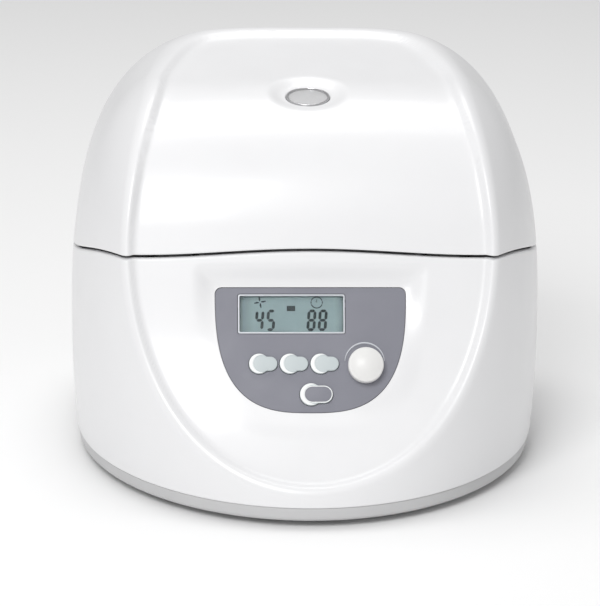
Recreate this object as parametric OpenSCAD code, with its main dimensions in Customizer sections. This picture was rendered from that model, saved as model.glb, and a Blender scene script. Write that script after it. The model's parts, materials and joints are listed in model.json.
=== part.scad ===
// Bench centrifuge with a hinged lid and a rotor for two microplates.
// Millimetres. X to the right, Y to the back, Z up. The origin is on the
// bench, under the middle of the machine.

/* [Body] */
// Width of the body at its widest
body_w = 283; // [278:1:288]
// Depth of the body, front to back
body_d = 330; // [326:1:334]
// Height of the dome that the sheet is cut from
dome_h = 248.5; // [246:0.5:251]
// Distance of the widest station behind the middle
wide_y = 12.5; // [10:0.5:15]
// Level at which the body is widest
wide_z = 72; // [66:1:78]
// How far the body draws in at its foot
foot_draw = 4.4; // [3:0.2:6]
// Roundness of the front in plan, where 2 is an ellipse
plan_front = 1.985; // [1.9:0.005:2.1]
// Squareness of the rear in plan
plan_rear = 5; // [4:0.1:6]
// Fullness of the dome, where 2 is an ellipse
dome_full = 2.91; // [2.7:0.01:3.1]
// Wall of the housing and of the lid
wall = 3.2; // [2.8:0.2:3.6]

/* [Foot] */
// Height of the rubber feet below the tray
foot_h = 4; // [3:0.5:5]
// Radius of a rubber foot
foot_r = 11; // [9:0.5:13]
// Height of the tray's band
tray_h = 8; // [7:0.5:9]
// Thickness of the tray's floor
floor_t = 2.5; // [2:0.5:3.5]
// How far the tray's band stands in from the housing
tray_in = 0.6; // [0.4:0.2:1.2]

/* [Seam] */
// Level of the seam at the rear
seam_z = 123; // [121:1:125]
// Rise of the seam from the rear to the front
seam_rise = 18; // [16:1:20]
// Further rise at the middle of the front
seam_arch = 4.2; // [3:0.2:5]
// Gap between the lid and the base
seam_gap = 1.8; // [1.4:0.2:2.2]

/* [Sheet] */
// Lean of the front sheet from upright, in degrees
sheet_lean = 18.6; // [18:0.2:19.2]
// Distance of the front sheet ahead of the middle, at its reference level
sheet_y = 103; // [102:0.5:104]
// Reference level of the front sheet
sheet_z = 133; // [132:1:134]
// How strongly the front sheet flares out towards its foot
sheet_flare = 18; // [16:1:20]
// Depth of the top sheet below the dome's height at its reference station
sheet_top_drop = 11.5; // [10.5:0.5:12.5]
// Reference station of the top sheet
sheet_top_y = 40; // [36:1:44]
// Slope of the top sheet, rising to the rear, in degrees
top_slope = 6.7; // [6:0.1:7.4]
// Size of the soft shoulder between the two sheets
shoulder = 58; // [54:1:62]
// Radius at which the sheets are rounded from side to side
sheet_round = 1550; // [1400:50:1800]
// Depth of the groove along the sheet's edge
groove_h = 5; // [4:0.5:5.5]
// Width of the groove's slope
groove_w = 7.5; // [6:0.5:9]

/* [Control panel] */
// Width of the control panel at its top
panel_w = 110; // [106:1:114]
// Height of the control panel along its face
panel_h = 73.5; // [72:0.5:75]
// Lean of the control panel from upright, in degrees
panel_lean = 28; // [27:0.5:29]
// Level of the control panel's lowest point
panel_foot_z = 58.5; // [57:0.5:60]
// How far the panel's lowest point is sunk in the sheet
panel_sink = 0.5; // [0.2:0.1:1]
// Thickness of the panel's plate
panel_t = 2; // [1.6:0.2:2.2]
// Fullness of the panel's round foot, where 2 is an ellipse
panel_full = 2.9; // [2.6:0.1:3.2]
// Radius of the panel's top corners
panel_corner = 4; // [3:0.5:6]
// Width of the soft rim round the panel
pocket_w = 13; // [11:1:15]
// Gap round the panel and the pieces set in it
panel_gap = 0.3; // [0.2:0.05:0.4]

/* [Display] */
// Width of the display frame
display_w = 61.8; // [58:0.2:64]
// Height of the display frame
display_h = 23.2; // [21:0.2:24]
// Distance of the display left of the panel's middle
display_x = 11; // [9:0.5:13]
// Distance of the display's middle below the panel's top
display_v = 15.5; // [14.5:0.5:16.5]
// Width of the display's light frame
display_rim = 0.9; // [0.7:0.1:1.4]

/* [Keys and knob] */
// Diameter of a key's round end
key_d = 11.8; // [11:0.2:12.4]
// Height of a key's long end
key_tail_h = 8.3; // [7.5:0.1:9]
// Length of a key from end to end
key_len = 16.4; // [15.6:0.2:16.8]
// Spacing of the three keys
key_pitch = 17.7; // [17.5:0.1:18.5]
// Distance of the first key's round end left of the panel's middle
key_x = 29.8; // [29:0.2:31]
// Distance of the three keys below the panel's top
key_v = 45; // [43.5:0.5:46]
// Diameter of the start key's round end
start_d = 13; // [12:0.2:13.4]
// Height of the start key's long end
start_tail_h = 10.2; // [9:0.2:11]
// Length of the start key from end to end
start_len = 19; // [17:0.5:20]
// Distance of the start key below the panel's top
start_v = 63; // [62:0.5:63.5]
// How far the keys stand out of the panel
key_proud = 1.6; // [1.4:0.1:2]
// Travel of a key
key_travel = 1.2; // [0.8:0.1:1.3]
// Diameter of the knob
knob_d = 20.5; // [19:0.5:21]
// Height of the knob above the panel
knob_h = 9.5; // [8.5:0.5:11]
// Distance of the knob right of the panel's middle
knob_x = 31.5; // [31:0.5:32]
// Distance of the knob below the panel's top
knob_v = 46.5; // [45:0.5:47]

/* [Sight glass] */
// Outer diameter of the sight glass's rim
sight_d = 25.6; // [24:0.2:27]
// Distance of the sight glass ahead of the middle
sight_y = 22; // [20:1:24]
// Tilt of the sight glass towards the front, in degrees
sight_tilt = 11.5; // [10:0.5:13]
// Depth of the dimple round the sight glass
dimple_h = 3.5; // [3:0.5:4]
// Radius of the dimple's flat floor
dimple_flat_r = 14.5; // [14:0.5:16]
// Outer radius of the dimple
dimple_r = 25; // [23:0.5:27]

/* [Chamber] */
// Distance of the rotor's axis behind the middle
axis_y = 17; // [16:0.5:18]
// Inner radius of the chamber bowl
bowl_r = 94; // [93:0.5:95]
// Level of the chamber's floor
bowl_floor_z = 50.5; // [50:0.5:52]
// Thickness of the bowl's sheet metal
bowl_t = 1.5; // [1:0.1:1.6]
// Radius of the bowl's bottom corner
bowl_corner = 14; // [10:1:16]
// Width of the bowl's rim
bowl_rim = 6; // [5:0.5:6.5]
// Distance of the top deck below the seam
deck_drop = 6; // [5.5:0.5:6.5]
// Thickness of the top deck
deck_t = 3; // [2.5:0.5:3.5]
// Thickness of the round seal's section
gasket_w = 4; // [3:0.5:4]
// Level of the raised shelf behind the control panel
shelf_z = 141; // [138:0.5:141]

/* [Drive] */
// Radius of the drive shaft
shaft_r = 6; // [5:0.5:6]
// Radius of the motor's fixed part
motor_r = 40; // [36:1:42]
// Height of the motor's fixed part
motor_h = 24; // [22:1:24]
// Height of the motor's rubber mounts
damper_h = 10.5; // [10:0.5:10.5]
// Thickness of the motor's plate
motor_plate_t = 3; // [2.5:0.5:3]
// Radial play of the shaft in its bearings
running_gap = 0.05; // [0.03:0.01:0.08]

/* [Rotor] */
// Length of a plate slot
slot_l = 129.5; // [129:0.5:130]
// Width of a plate slot
slot_w = 17; // [16.5:0.1:17.4]
// Depth of a plate slot
slot_depth = 78; // [76:1:79]
// Wall of a plate cradle
cradle_t = 2.5; // [2:0.1:2.6]
// Distance from the axis to the cradles' inner faces
cradle_x = 32; // [31:0.5:32.5]
// Level of the cradles' underside
cradle_z = 63; // [62.5:0.5:64]
// Thickness of the rotor's cross plate
hub_plate_t = 4; // [3:0.5:4.5]
// Radius of the rotor's hub
hub_r = 17; // [15:1:19]

/* [Lid] */
// Level of the liner's plate
liner_z = 148; // [147.5:0.5:149]
// Thickness of the liner
liner_t = 2.5; // [2:0.5:3]
// Level of the liner's ceiling over the rotor
ceiling_z = 166; // [164:1:168]
// Inner radius of the drum that closes on the seal
drum_r = 94; // [93.5:0.5:95]
// Distance of the hinges from the middle
hinge_x = 60; // [56:1:64]
// Outer radius of a hinge knuckle
knuckle_r = 4.5; // [4:0.1:4.6]
// Radius of a hinge pin
pin_r = 2; // [1.8:0.1:2.2]
// Angle of the lid locks from the front, in degrees
lock_turn = 42; // [41:1:44]
// Distance of the lid locks outside the bowl
lock_out = 22.5; // [22:0.5:24]
// Travel of a lock bolt
lock_travel = 7; // [6:0.5:7]

/* [Rear] */
// Width of the rear plate
rear_w = 156; // [150:1:160]
// Height of the rear plate
rear_h = 76; // [72:1:78]
// Level of the rear plate's middle
rear_z = 66; // [64:1:68]
// How far the rear plate is let into the body
rear_in = 4.5; // [4:0.5:5]
// Thickness of the rear plate
rear_t = 2; // [1.5:0.5:2]
// Side of the cooling fan
fan_side = 60; // [56:1:62]
// Distance of the fan left of the middle, seen from the front
fan_x = 36; // [34:1:38]
// Distance of the inlet right of the middle, seen from the front
inlet_x = 48; // [46:1:50]

/* [Hidden] */
$fn = 72;

white = "whitesmoke";
grey = "slategray";
pale = "lightgray";
steel = "silver";
dark = "dimgray";
black = "#222222";
half_w = body_w / 2;
half_d = body_d / 2;
sheet_top_z = dome_h - sheet_top_drop;
// Columns of the skin round the body, closer together at the front
columns = 96;
front_bias = 0.42;
// Rows of the base's and the lid's skins, outside and inside
base_rows = 20;
base_inner_rows = 8;
lid_rows = 17;
lid_inner_rows = 8;
// Widest reach of a ray and the number of halvings that find the skin
ray_reach = 240;
ray_steps = 16;
// Slope that rounds the seam's change of level, ahead of the widest station
seam_from = -10;
seam_to = 112;
seam_half_w = 105;
fit = 0.4;
// Room that the flat-sided outlines of the deck and the liner leave inside the shells
deck_fit = 4 * fit;
liner_fit = 7 * fit;

base_z = foot_h + tray_h;
floor_z = foot_h + floor_t;
deck_z = seam_z - deck_drop;
deck_under = deck_z - deck_t;
bowl_under = bowl_floor_z - bowl_t;
front_seam_z = seam_z + seam_rise + seam_arch;

// Tray, posts and screws
tray_step = 2.5;
post_r = 5;
front_post_out = 16;
rear_post_out = 24;
seat_r = 4;
screw_r = 1.5;
screw_l = 10;
head_r = 3;
head_h = 1.5;
foot_seat = foot_h - 1.4;
foot_in = foot_r * 4;
foot_places = [
    for (s = [-1, 1])
        each [
            [s * (half_w - foot_in * 1.3), -half_d + foot_in * 1.8],
            [s * (half_w - foot_in), half_d - foot_in * 1.2]
        ]
];
post_places = [
    for (s = [-1, 1])
        each [
            [s * (bowl_r + front_post_out) * sin(62), axis_y - (bowl_r + front_post_out) * cos(62)],
            [s * (bowl_r + rear_post_out) * sin(118), axis_y - (bowl_r + rear_post_out) * cos(118)]
        ]
];
vent_pitch = 9;
vent_w = 4;
vent_l = 40;
vent_y = half_d - 91;
shelf_half_w = 62;
shelf_y = axis_y - bowl_r - bowl_rim - 1.5;
riser_t = 2.5;
ledge = 2.5;

// Chamber
boot_r = 15.6;
boot_in = 7;
drum_z = seam_z + 1.3;
seal_top = drum_z - 0.3;
ceiling_corner = 12;
drum_collar = 5;
damper_top = floor_z + damper_h;
damper_r = 9;
damper_neck = 4;
plate_w = 150;
plate_d = 120;
damper_places = [for (x = [-1, 1], y = [-1, 1]) [x * plate_w * 0.4, axis_y + y * plate_d * 0.375]];

// Rotor
cradle_out = slot_w + 2 * cradle_t;
cradle_hole_y = 30;
cradle_holes = [for (x = [-1, 1], y = [-1, 1]) [x * (cradle_x + cradle_out / 2), y * cradle_hole_y]];
hub_plate_w = 80;
hub_z = cradle_z - hub_plate_t;
hub_rib_h = 14;
window_w = 40;
window_h = 40;
finger_r = 14;
spring_w = 12;
spring_l = 24;
spring_bow = 2;
spring_t = 0.6;
spring_r = (spring_l * spring_l / 4 + spring_bow * spring_bow) / (2 * spring_bow);
hub_h = 25;
nut_z = hub_z + hub_h;
nut_h = 8;
nut_r = 11;
thread_r = shaft_r - 1.5;

// Sight glass
tube_r = 15;
tube_in = 11;
// How far the tube's lower end stands below the ceiling
tube_drop = 1.5;
tube_reach = dome_h - ceiling_z + tube_r * 3;
sight_rim = 1.2;
seat_gap = 0.3;

// Hinges
rear_up = (seam_z - wide_z) / (dome_h - wide_z);
hinge_y = wide_y + (half_d - wide_y) * pow(1 - pow(rear_up, dome_full), 1 / dome_full) + 0.5;
hinge_slot = 29;
slot_reach = 22;
hinge_gap = 0.6;
leaf_w = 12;
leaf_t = 3;
leaf_top = seam_z + 1.2;
ear_t = 6;
pad_w = 40;
pad_y = axis_y + bowl_r + 1;
pad_d = hinge_y - knuckle_r - 2.5 - pad_y;
pad_rib_t = 3;
hinge_screws_y = [pad_y + pad_d * 0.18, pad_y + pad_d * 0.67];
bracket_w = 48;
bracket_t = 2.5;
bracket_d = 24;
// Gap between the bracket's plate and the knuckles
bracket_in = 3.5;
bracket_y = hinge_y - bracket_d;
bracket_screw_y = hinge_y - bracket_d * 0.58;
bracket_screws = [for (s = [-1, 1], e = [-0.4, 0.4]) [s * hinge_x + e * bracket_w, bracket_screw_y]];

// Lid locks
lock_x = (bowl_r + lock_out) * sin(lock_turn);
lock_y = axis_y - (bowl_r + lock_out) * cos(lock_turn);
lock_w = 30;
lock_d = 24;
lock_h = 24;
lock_low = deck_under - lock_h;
slot_x = 5;
slot_y = 16;
bolt_z = lock_low + lock_h * 0.54;
bolt_r = 3;
bolt_l = 10;
striker_t = 3;
striker_w = 10;
striker_low = lock_low + 7;
striker_top = seam_z + 5;
lug_r = 10;
lug_screws = [for (s = [-1, 1], e = [-0.6, 0.6]) [s * lock_x + e * lug_r, lock_y]];

// Control panel
board_gap = 6;
board_t = 1.6;
board_in = 6;
board_drop = 10;
panel_posts = [[-42, -32], [42, -28], [-16, -60], [20, -63]];
panel_post_r = 2.5;
key_low = -5;
key_lip = 0.8;
switch_top = key_low - key_travel - 0.3;
bush_r = 4.8;
knob_shaft_r = 3;
crown_h = 3.5;
// The raised arc over the knob: its middle is up and to the left of the knob's
arc_rise = 2.4;
arc_shift = 0.5;
arc_gap = 0.8;
arc_w = 0.7;
arc_h = 0.5;
crown_r = (knob_d * knob_d / 4 + crown_h * crown_h) / (2 * crown_h);

// Rear
rear_y = half_d - rear_in;
rear_corner = 4;
rear_frame = 6;
fan_t = 15;
fan_y = rear_y - rear_t - fan_t;
fan_bore = fan_side / 2 - 2.5;
fan_hub_r = 12;
fan_axle_r = 3;
flange_t = 2;
inlet_w = 28;
inlet_h = 36;
inlet_z = rear_z - 16;
inlet_depth = 22;
socket_w = 24;
socket_h = 16;
socket_drop = 8;
socket_depth = 16;
fuse_w = 20;
fuse_h = 8;
fuse_lift = 11;
fuse_depth = 12;
rocker_w = 15;
rocker_h = 22;
rocker_z = rear_z + 20;
rocker_depth = 16;
rocker_axis_y = rear_y - 2;
rocker_pin_r = 1.2;
rocker_pin_l = rocker_w - 2.4;

// Electronics
board_z = floor_z + 7.5;
board_w = 150;
board_d = 70;
board_y = 40 - half_d;
board_posts = [for (x = [-1, 1], y = [7, board_d - 7]) [x * (board_w / 2 - 7), board_y + y]];
supply_x = 33.5 - half_w;
supply_y = half_d - 67;
supply_w = 36;
supply_d = 40;
supply_h = 88;
supply_z = floor_z + 3;
supply_posts = [for (x = [6, supply_w - 6], y = [6, supply_d - 6]) [supply_x + x, supply_y + y]];

function sat(v) = max(0, min(1, v));
function smooth(v) = let (t = sat(v)) t * t * (3 - 2 * t);
function mix(a, b, w) = a * (1 - w) + b * w;
function smax(a, b, k) = let (h = max(k - abs(a - b), 0) / k) max(a, b) + h * h * k / 4;

// The round body: below zero inside, about the distance in millimetres
function dome(p) =
    let (
        draw = foot_draw * pow(sat((wide_z - p.z) / wide_z), 2),
        dy = p.y - wide_y,
        n = dy < 0 ? plan_front : plan_rear,
        reach = dy < 0 ? half_d + wide_y : half_d - wide_y - draw,
        plan = pow(pow(abs(p.x) / (half_w - draw), n) + pow(abs(dy) / reach, n), 1 / n),
        up = max((p.z - wide_z) / (dome_h - wide_z), 0)
    )
    (pow(pow(plan, dome_full) + pow(up, dome_full), 1 / dome_full) - 1) * half_w;

// The broad sheet that cuts the body, from the foot over the shoulder to the rear
function sheet(p) =
    let (
        down = sheet_z - p.z,
        flare = sheet_flare * 1e-6 * pow(max(down, 0), 3),
        crown = p.x * p.x / (2 * sheet_round),
        front = -(p.y + sheet_y + tan(sheet_lean) * down + flare) * cos(sheet_lean) + crown,
        top = (p.z - sheet_top_z) * cos(top_slope) - (p.y - sheet_top_y) * sin(top_slope) + crown
    )
    smax(front, top, shoulder);

// Station of the grooved front sheet on the middle plane, below the shoulder
function sheet_front_y(z) =
    let (down = sheet_z - z)
    -(sheet_y + tan(sheet_lean) * down + sheet_flare * 1e-6 * pow(max(down, 0), 3))
    + groove_h / cos(sheet_lean);

// The panel's frame: U to the right, V up the face, W out of it
panel_n = [0, -cos(panel_lean), sin(panel_lean)];
panel_up = [0, sin(panel_lean), cos(panel_lean)];
panel_foot = [0, sheet_front_y(panel_foot_z) + panel_sink, panel_foot_z];
panel_top = panel_foot + panel_h * panel_up;

// Distance outside the panel's outline, at U and V from its top middle
function panel_out(u, v) =
    let (
        down = max(-v, 0) / panel_h,
        side = (pow(pow(2 * abs(u) / panel_w, panel_full) + pow(down, panel_full), 1 / panel_full) - 1)
            * panel_w / 2
    )
    smax(side, v, panel_corner);

// Level of the grooved sheet over a station on the middle plane
function sheet_level(y, lo, hi, n) =
    let (mid = (lo + hi) / 2)
    n == 0 ? mid
    : sheet([0, y, mid]) + groove_h < 0 ? sheet_level(y, mid, hi, n - 1)
    : sheet_level(y, lo, mid, n - 1);

sight_n = [0, -sin(sight_tilt), cos(sight_tilt)];
sight_c = [0, -sight_y, sheet_level(-sight_y, wide_z, dome_h, ray_steps) - dimple_h];

// The whole body with its groove, its pocket and its dimple
function body_f(p) =
    let (
        round_body = dome(p),
        cut = sheet(p) + groove_h * smooth(-round_body / groove_w),
        q = p - panel_top,
        pocket = p.z > seam_z + seam_rise ? 0
            : 1 - smooth(panel_out(q.x, q * panel_up) / pocket_w),
        pocketed = mix(cut, q * panel_n, pocket),
        s = p - sight_c,
        dimple = p.z < front_seam_z ? 0
            : 1 - smooth((norm([s.x, s.y / cos(sight_tilt)]) - dimple_flat_r) / (dimple_r - dimple_flat_r))
    )
    smax(round_body, mix(pocketed, s * sight_n, dimple), 2);

function ray(o, d, inset, lo = 0, hi = ray_reach, n = ray_steps) =
    let (mid = (lo + hi) / 2)
    n == 0 ? o + d * mid
    : body_f(o + d * mid) + inset < 0 ? ray(o, d, inset, mid, hi, n - 1)
    : ray(o, d, inset, lo, mid, n - 1);

function seam_level(p) =
    seam_z + seam_rise * smooth((wide_y - p.y - seam_from) / (seam_to - seam_from))
    + seam_arch * pow(cos(90 * sat(abs(p.x) / seam_half_w)), 2) * smooth((wide_y - p.y - 30) / 60);

function column_dir(j) =
    let (phi = 360 * j / columns, a = phi - front_bias * sin(phi) * 180 / PI)
    [sin(a), -cos(a), 0];

// Level of the base's top edge along each column
function base_tops() = [
    for (j = [0:columns - 1])
        let (
            d = column_dir(j),
            first = seam_level(ray([0, wide_y, seam_z], d, 0)),
            second = seam_level(ray([0, wide_y, first], d, 0))
        )
        seam_level(ray([0, wide_y, second], d, 0)) - seam_gap / 2
];

function base_skin(inset, rows, tops) = [
    for (i = [0:rows])
        [
            for (j = [0:columns - 1])
                ray([0, wide_y, base_z + (tops[j] - base_z) * i / rows], column_dir(j), inset)
        ]
];

lid_core = [0, -sight_y, seam_z];
sight_hole_r = sight_d / 2 + 0.3;

// Angle up from the lid's core to its lower edge along each column
function lid_lows() = [
    for (j = [0:columns - 1])
        let (
            d = column_dir(j),
            near = ray(lid_core, d, 0),
            edge = ray([0, -sight_y, seam_level(near)], d, 0)
        )
        atan2(seam_level(edge) + seam_gap / 2 - lid_core.z, norm([edge.x, edge.y + sight_y]))
];

function lid_skin(inset, rows, lows) = [
    for (i = [0:rows])
        [
            for (j = [0:columns - 1])
                let (
                    d = column_dir(j),
                    hole = atan2(sight_c.z - lid_core.z - inset, sight_hole_r),
                    tilt = lows[j] + (hole - lows[j]) * i / rows
                )
                ray(lid_core, [d.x * cos(tilt), d.y * cos(tilt), sin(tilt)], inset)
        ]
];

function flat_list(rows) = [for (r = rows) for (v = r) v];

// A closed skin between an outer and an inner sheet of points that share two rims
module strip(outer, inner) {
    a = len(outer) - 1;
    b = len(inner) - 1;
    start = (a + 1) * columns;
    function at(i, j) = i * columns + j % columns;
    function in_at(i, j) = start + i * columns + j % columns;
    function pair(p, q, r, s) = [[p, q, r], [p, r, s]];
    faces = [
        for (j = [0:columns - 1])
            each concat(
                [for (i = [0:a - 1]) each pair(at(i, j), at(i + 1, j), at(i + 1, j + 1), at(i, j + 1))],
                [for (i = [0:b - 1])
                    each pair(in_at(i, j + 1), in_at(i + 1, j + 1), in_at(i + 1, j), in_at(i, j))],
                pair(at(0, j), at(0, j + 1), in_at(0, j + 1), in_at(0, j)),
                pair(at(a, j + 1), at(a, j), in_at(b, j), in_at(b, j + 1))
            )
    ];
    polyhedron(concat(flat_list(outer), flat_list(inner)), faces);
}

// The plan outline of the body at one level, drawn in by an inset
function outline(z, inset) = [
    for (j = [0:columns - 1])
        let (p = ray([0, wide_y, z], column_dir(j), inset)) [p.x, p.y]
];

module slab(z, t, level, inset) {
    translate([0, 0, z]) linear_extrude(t) polygon(outline(level, inset));
}

// Places children in the panel's frame
module on_panel(u = 0, v = 0, w = 0) {
    translate(panel_top) rotate([90 - panel_lean, 0, 0]) translate([u, v, w]) children();
}

module panel_outline(grow) {
    hw = panel_w / 2 + grow;
    h = panel_h + 2 * grow;
    r = panel_corner;
    top = grow;
    steps = 24;
    // Depth below the top at which the straight corner arcs end
    share = r / h;
    side_u = hw * pow(1 - pow(share, panel_full), 1 / panel_full);
    polygon(concat(
        [for (k = [0:5]) let (a = 90 - 90 * k / 5) [side_u - r + r * cos(a), top - r + r * sin(a)]],
        [for (k = [1:steps - 1])
            let (a = 90 * k / steps, t = share + (1 - share) * sin(a))
            [hw * pow(max(1 - pow(t, panel_full), 0), 1 / panel_full), top - t * h]],
        [[0, top - h]],
        [for (k = [steps - 1:-1:1])
            let (a = 90 * k / steps, t = share + (1 - share) * sin(a))
            [-hw * pow(max(1 - pow(t, panel_full), 0), 1 / panel_full), top - t * h]],
        [for (k = [5:-1:0]) let (a = 90 - 90 * k / 5) [-(side_u - r + r * cos(a)), top - r + r * sin(a)]]
    ));
}

module round_box(size, r, centre = true) {
    translate([centre ? -size.x / 2 : 0, centre ? -size.y / 2 : 0, 0])
        linear_extrude(size.z)
            union() {
                translate([r, 0]) square([size.x - 2 * r, size.y]);
                translate([0, r]) square([size.x, size.y - 2 * r]);
                for (x = [r, size.x - r], y = [r, size.y - r]) translate([x, y]) circle(r, $fn = 32);
            }
}

module ring(r_out, r_in, h) {
    difference() {
        cylinder(h = h, r = r_out);
        translate([0, 0, -1]) cylinder(h = h + 2, r = r_in);
    }
}

module at_axis(z = 0) {
    translate([0, axis_y, z]) children();
}

// The white shell of the base, open for the panel, the rear plate and the hinges
module base_housing() {
    tops = base_tops();
    color(white)
        resize([0, 0, 0])
            difference() {
                union() {
                    strip(base_skin(0, base_rows, tops), base_skin(wall, base_inner_rows, tops));
                    on_rear(0, rear_z, rear_y - rear_t - ledge)
                        round_box([rear_w + rear_frame, rear_h + rear_frame, rear_in + ledge], rear_corner);
                    on_panel(0, 0, -panel_t - 0.2 - ledge) linear_extrude(ledge) panel_outline(ledge);
                }
                on_panel(0, 0, -panel_t - 0.2) linear_extrude(wall * 4) panel_outline(panel_gap);
                on_panel(0, 0, -wall * 4) linear_extrude(wall * 8) panel_outline(-ledge);
                on_rear(0, rear_z, rear_y - rear_t - 0.2)
                    round_box([rear_w + 2 * fit, rear_h + 2 * fit, 20], rear_corner);
                on_rear(0, rear_z, rear_y - 20)
                    round_box([rear_w - 2 * ledge, rear_h - 2 * ledge, 30], rear_corner);
                for (s = [-1, 1])
                    translate([s * hinge_x - hinge_slot / 2, hinge_y - slot_reach, deck_z - fit])
                        cube([hinge_slot, slot_reach * 2, seam_z - deck_z + knuckle_r * 2]);
            }
}

module base_tray() {
    color(grey)
        difference() {
            union() {
                difference() {
                    union() {
                        slab(foot_h + tray_step, tray_h - tray_step, foot_h + tray_step, tray_in);
                        slab(foot_h, tray_step, foot_h, tray_in + tray_step);
                    }
                    slab(floor_z, tray_h, foot_h, tray_in + tray_step + wall);
                }
                tray_posts(post_places, deck_under, post_r);
                tray_posts(board_posts, board_z, seat_r);
                tray_posts(supply_posts, supply_z, seat_r);
            }
            for (p = post_places)
                translate([p.x, p.y, deck_under - screw_l]) cylinder(h = screw_l + 1, r = screw_r + 0.1);
            for (p = foot_places)
                translate([p.x, p.y, foot_h - 1]) cylinder(h = floor_t + 2, r = screw_r + 0.1);
            for (i = [-4:4])
                translate([i * vent_pitch - vent_w / 2, vent_y, foot_h - 1])
                    cube([vent_w, vent_l, floor_t + 2]);
        }
}

module tray_posts(places, top, r) {
    for (p = places) translate([p.x, p.y, foot_h]) cylinder(h = top - foot_h, r = r);
}

module rubber_feet() {
    color(black)
        for (p = foot_places)
            translate([p.x, p.y, 0])
                difference() {
                    cylinder(h = foot_h, r = foot_r);
                    translate([0, 0, -1]) cylinder(h = foot_h + 2, r = screw_r + 0.3);
                    translate([0, 0, -1]) cylinder(h = 1 + foot_seat, r = head_r + fit);
                }
}

module foot_screws() {
    color(steel)
        for (p = foot_places)
            translate([p.x, p.y, foot_seat - head_h])
                screw(floor_z - foot_seat - 0.1);
}

// A screw with its head at the bottom
module screw(length) {
    cylinder(h = head_h, r = head_r, $fn = 32);
    cylinder(h = head_h + length, r = screw_r, $fn = 32);
}

module screw_down(length) {
    rotate([180, 0, 0]) translate([0, 0, -head_h]) screw(length);
}

module deck_screws() {
    color(steel) {
        for (p = post_places) translate([p.x, p.y, deck_z]) screw_down(screw_l - 1);
        for (p = bracket_screws)
            translate([p.x, p.y, deck_z + bracket_t]) screw_down(bracket_t + deck_t - 0.3);
    }
}

// The face of the base under the lid, with a raised shelf behind the panel
module top_deck() {
    reach = half_d + shelf_y;
    color(white)
        difference() {
            union() {
                difference() {
                    slab(deck_under, deck_t, deck_z, wall + deck_fit);
                    translate([-shelf_half_w, -half_d, deck_under - 1])
                        cube([2 * shelf_half_w, reach, deck_t + 2]);
                }
                intersection() {
                    slab(shelf_z - deck_t, deck_t, shelf_z, wall + deck_fit);
                    translate([-shelf_half_w - riser_t, -half_d, deck_under])
                        cube([2 * (shelf_half_w + riser_t), reach, shelf_z]);
                }
                translate([-shelf_half_w - riser_t, shelf_y - riser_t, deck_under])
                    cube([2 * (shelf_half_w + riser_t), riser_t, shelf_z - deck_under]);
                intersection() {
                    slab(deck_under, shelf_z - deck_under, shelf_z, wall + deck_fit);
                    for (s = [-1, 1])
                        translate([s * (shelf_half_w + riser_t / 2) - riser_t / 2, -half_d, deck_under])
                            cube([riser_t, reach, shelf_z - deck_under]);
                }
            }
            at_axis(deck_under - 1) cylinder(h = deck_t + 2, r = bowl_r + bowl_t + fit);
            for (s = [-1, 1])
                translate([s * lock_x - slot_x / 2, lock_y - slot_y / 2, deck_under - 1])
                    cube([slot_x, slot_y, deck_t + 2]);
            for (p = concat(post_places, bracket_screws))
                translate([p.x, p.y, deck_under - 1]) cylinder(h = deck_t + 2, r = screw_r + 0.3);
        }
}

// The lower right quarter of a disc
module quarter(r) {
    intersection() {
        circle(r);
        translate([0, -r]) square(r);
    }
}

module chamber_bowl() {
    inner = bowl_r - bowl_corner;
    color(steel)
        at_axis()
            rotate_extrude($fn = 96) {
                translate([boot_r + fit, bowl_under]) square([inner - boot_r - fit, bowl_t]);
                translate([inner, bowl_floor_z + bowl_corner])
                    difference() {
                        quarter(bowl_corner + bowl_t);
                        circle(bowl_corner);
                    }
                translate([bowl_r, bowl_floor_z + bowl_corner])
                    square([bowl_t, deck_z + bowl_t - bowl_floor_z - bowl_corner]);
                translate([bowl_r, deck_z]) square([bowl_rim, bowl_t]);
            }
}

module chamber_gasket() {
    r = bowl_r + bowl_rim - gasket_w;
    h = seal_top - deck_z - bowl_t;
    color(black)
        at_axis(deck_z + bowl_t)
            rotate_extrude($fn = 96) {
                translate([r, 0]) square([gasket_w, h - gasket_w / 2]);
                translate([r + gasket_w / 2, h - gasket_w / 2]) circle(gasket_w / 2, $fn = 24);
            }
}

// The rubber seal round the shaft, seated on the bowl's floor
module shaft_boot() {
    color(black)
        at_axis()
            rotate_extrude()
                polygon([
                    [boot_in, bowl_under - 2],
                    [boot_r, bowl_under - 2],
                    [boot_r, bowl_floor_z],
                    [boot_r + 4, bowl_floor_z],
                    [boot_r + 4, bowl_floor_z + 1.5],
                    [boot_in + 5, bowl_floor_z + 2.5],
                    [boot_in + 2, hub_z - 1.5],
                    [boot_in, hub_z - 1.5]
                ]);
}

module motor_plate() {
    color(steel)
        difference() {
            at_axis(damper_top) round_box([plate_w, plate_d, motor_plate_t], 10);
            at_axis(damper_top - 1) cylinder(h = motor_plate_t + 2, r = shaft_r + 6);
            for (p = damper_places)
                translate([p.x, p.y, damper_top - 1]) cylinder(h = motor_plate_t + 2, r = damper_neck);
        }
}

module motor_dampers() {
    top = damper_h + motor_plate_t;
    color(black)
        for (p = damper_places)
            translate([p.x, p.y, floor_z])
                rotate_extrude($fn = 48)
                    polygon([
                        [0, 0],
                        [damper_r, 0],
                        [damper_r - 1.5, damper_h / 2],
                        [damper_r, damper_h],
                        [damper_neck - 0.1, damper_h],
                        [damper_neck - 0.1, top],
                        [damper_neck + 1, top],
                        [damper_neck - 0.5, top + 2],
                        [0, top + 2]
                    ]);
}

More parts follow.
